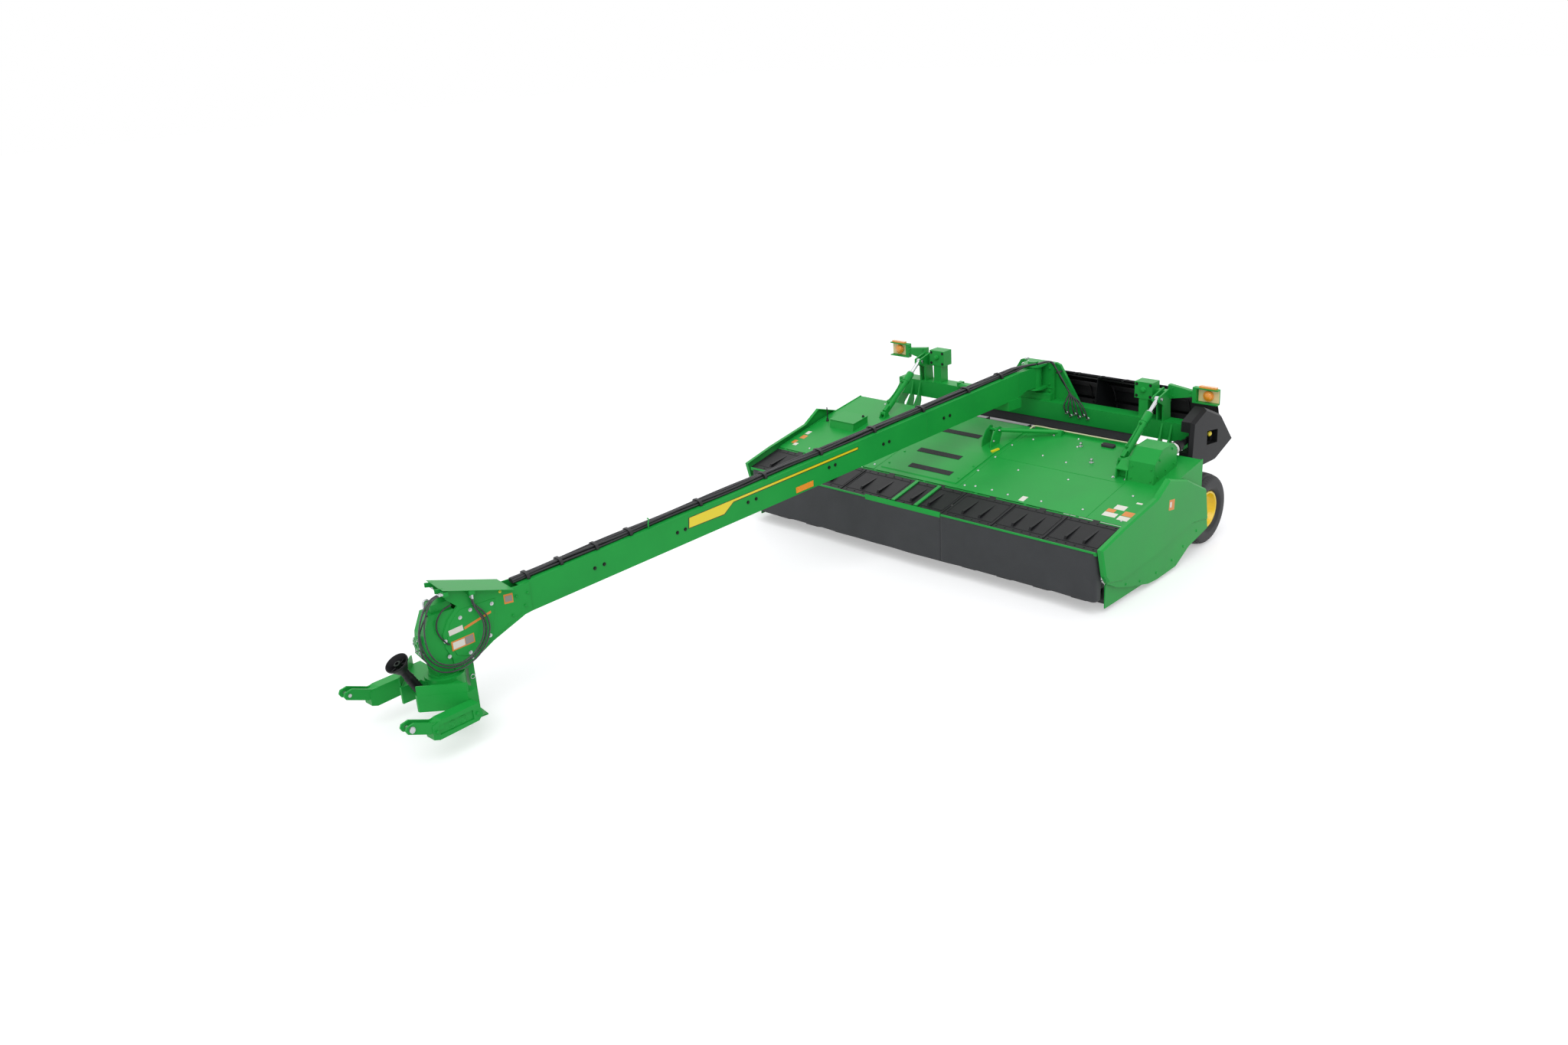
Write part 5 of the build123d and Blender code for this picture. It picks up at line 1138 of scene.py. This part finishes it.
# Hitch dressing
# Bolts through the arms, pressed rings where the frame is plug-welded, linch pins through the link pins'
# ends, weld beads on the wings and one large nut under the swivel.
hitch_at = on_tongue((0, swivel_ahead, 0))
arm_height = 0.33
arm_spots = hitch_at + np.array([(sign * 0.585, y, arm_height) for sign in (1, -1) for y in (-0.50, -0.07)])
arm_ways = [(1, 0, 0), (1, 0, 0), (-1, 0, 0), (-1, 0, 0)]
piece("hitch_arm_bolts", set_out(bolt_shape(0.026, 0.018), arm_spots, arm_ways), enamel, "hitch")
pressed = turned([(0.028, 0), (0.031, 0.004), (0.038, 0.004), (0.041, 0), (0.028, 0)], 28)
pressed_small = turned([(0.0, 0.003), (0.014, 0.003), (0.018, 0), (0, 0)], 24)
ring_spots = hitch_at + np.array([(sign * 0.573, y, arm_height) for sign in (1, -1) for y in (-0.22, -0.33)])
rings = joined(set_out(pressed, ring_spots, arm_ways), set_out(pressed_small, ring_spots, arm_ways))
piece("hitch_arm_rings", rings, enamel, "hitch")
bend = np.linspace(-0.4, np.pi + 0.4, 20)
bow = 0.030 * np.stack([np.zeros(20), np.sin(bend), np.cos(bend)], axis=-1)
linch = [piped(hitch_at + (sign * 0.597, -0.74, 0.46) + bow, 0.003, 8) for sign in (1, -1)]
piece("hitch_linch_pins", joined(*linch), zinc, "hitch", sharp=60)
hitch_line = [(-0.13, -0.385, 0.508), (-0.45, -0.075, 0.508)]
wing_beads = [bead(hitch_at + np.array([(sign * x, y, z) for x, y, z in hitch_line]), 0.005)
              for sign in (1, -1)]
piece("hitch_welds", joined(*wing_beads), enamel, "hitch", sharp=60)
king = turned([(0, 0.0), (0.06, 0.0), (0.06, 0.008), (0.03, 0.012), (0.03, 0.03), (0, 0.032)], 6)
piece("hitch_king_nut", set_out(king, hitch_at + (0, 0, 0.335), (0, 0, -1)), zinc, "hitch")

# Drive shaft guard
# A bellows of black polyethylene covers the shaft, and a lip edges the bell at its free end. Inside the bell
# is the steel yoke, with seven spokes round it.
pto_start = np.array((0, -0.235, 0.385))
pto_way = np.array((0, -0.45, 0.80)) - pto_start
pto_length = np.linalg.norm(pto_way)
pto_way = pto_way / pto_length
fold_count, fold_step = 11, 0.019
folds = [(0.044 + 0.006 * (i % 2), 0.11 + i * fold_step) for i in range(fold_count)]
bellows = turned([(0.043, 0.105), *folds, (0.043, 0.11 + fold_count * fold_step), (0.043, 0.105)], 30)
piece("pto_bellows", set_out(bellows, hitch_at + pto_start, pto_way), moulded, "pto_shaft", sharp=60)
bell = turned([(0.108, pto_length + 0.0295), (0.1135, pto_length + 0.031), (0.1145, pto_length + 0.022),
               (0.1115, pto_length + 0.012), (0.108, pto_length + 0.0295)], 48)
piece("pto_bell_lip", set_out(bell, hitch_at + pto_start, pto_way), moulded, "pto_shaft", sharp=50)
yoke = turned([(0.0185, pto_length - 0.054), (0.033, pto_length - 0.052), (0.036, pto_length - 0.03),
               (0.033, pto_length - 0.005), (0.034, pto_length + 0.019), (0.0285, pto_length + 0.0215),
               (0.0185, pto_length + 0.0215), (0.0185, pto_length - 0.054)], 32)
piece("pto_yoke", set_out(yoke, hitch_at + pto_start, pto_way), oxide, "pto_shaft", "bright_steel")
spokes = []
side = np.array((1.0, 0, 0))
upward = np.cross(pto_way, side)
spoke_middle = hitch_at + pto_start + pto_way * (pto_length - 0.012)
for angle in np.linspace(0, 2 * np.pi, 7, endpoint=False):
    out = math.cos(angle) * side + math.sin(angle) * upward
    spokes.append(piped([spoke_middle + out * reach for reach in (0.034, 0.06, 0.086)], 0.006, 8))
piece("pto_guard_spokes", joined(*spokes), moulded, "pto_shaft", sharp=60)

# Cutterbar dressing
# Each knife swings on a shouldered bolt at the disc's tip, and each disc's cap has a flat bolt in its middle.
disc_count, disc_pitch, knife_reach = 10, 0.482, 0.16
for number in range(1, disc_count + 1):
    centre = from_rail(((number - (disc_count + 1) / 2) * disc_pitch, 0.4, 0))
    turn = np.array((0, 1.0, 0) if number % 2 == 0 else (1.0, 0, 0))
    tips = [centre + knife_reach * way + (0, 0, 0.134) for way in (turn, -turn)] + [centre + (0, 0, 0.17)]
    disc_bolts = set_out(bolt_shape(0.024, 0.014), tips, (0, 0, 1))
    piece(f"disc_bolts_{number:02d}", disc_bolts, zinc, f"disc_{number:02d}")

# Rear of the machine
# Dome-headed screws stand along the hood's ribs, and an orange film is stuck to the cross tube's back, right
# of the middle.
hood_screws = from_rail([(x, y, 1.0012 + 0.0192 * (y - 2.04)) for x in (-1.1, -0.4, 0.4, 1.1)
                         for y in (2.25, 2.5)])
piece("hood_screws", set_out(dome, hood_screws, (0, 0, 1)), oxide, "platform")
film = [(-1.1, 1.22), (-1.35, 1.22), (-1.35, 1.28), (-1.1, 1.28)]
tube_film = plate(film, from_rail((0, 2.80, 0)), (1, 0, 0), (0, 0, 1), -0.0008)
piece("tube_rear_films", tube_film, orange_film, "carrier")
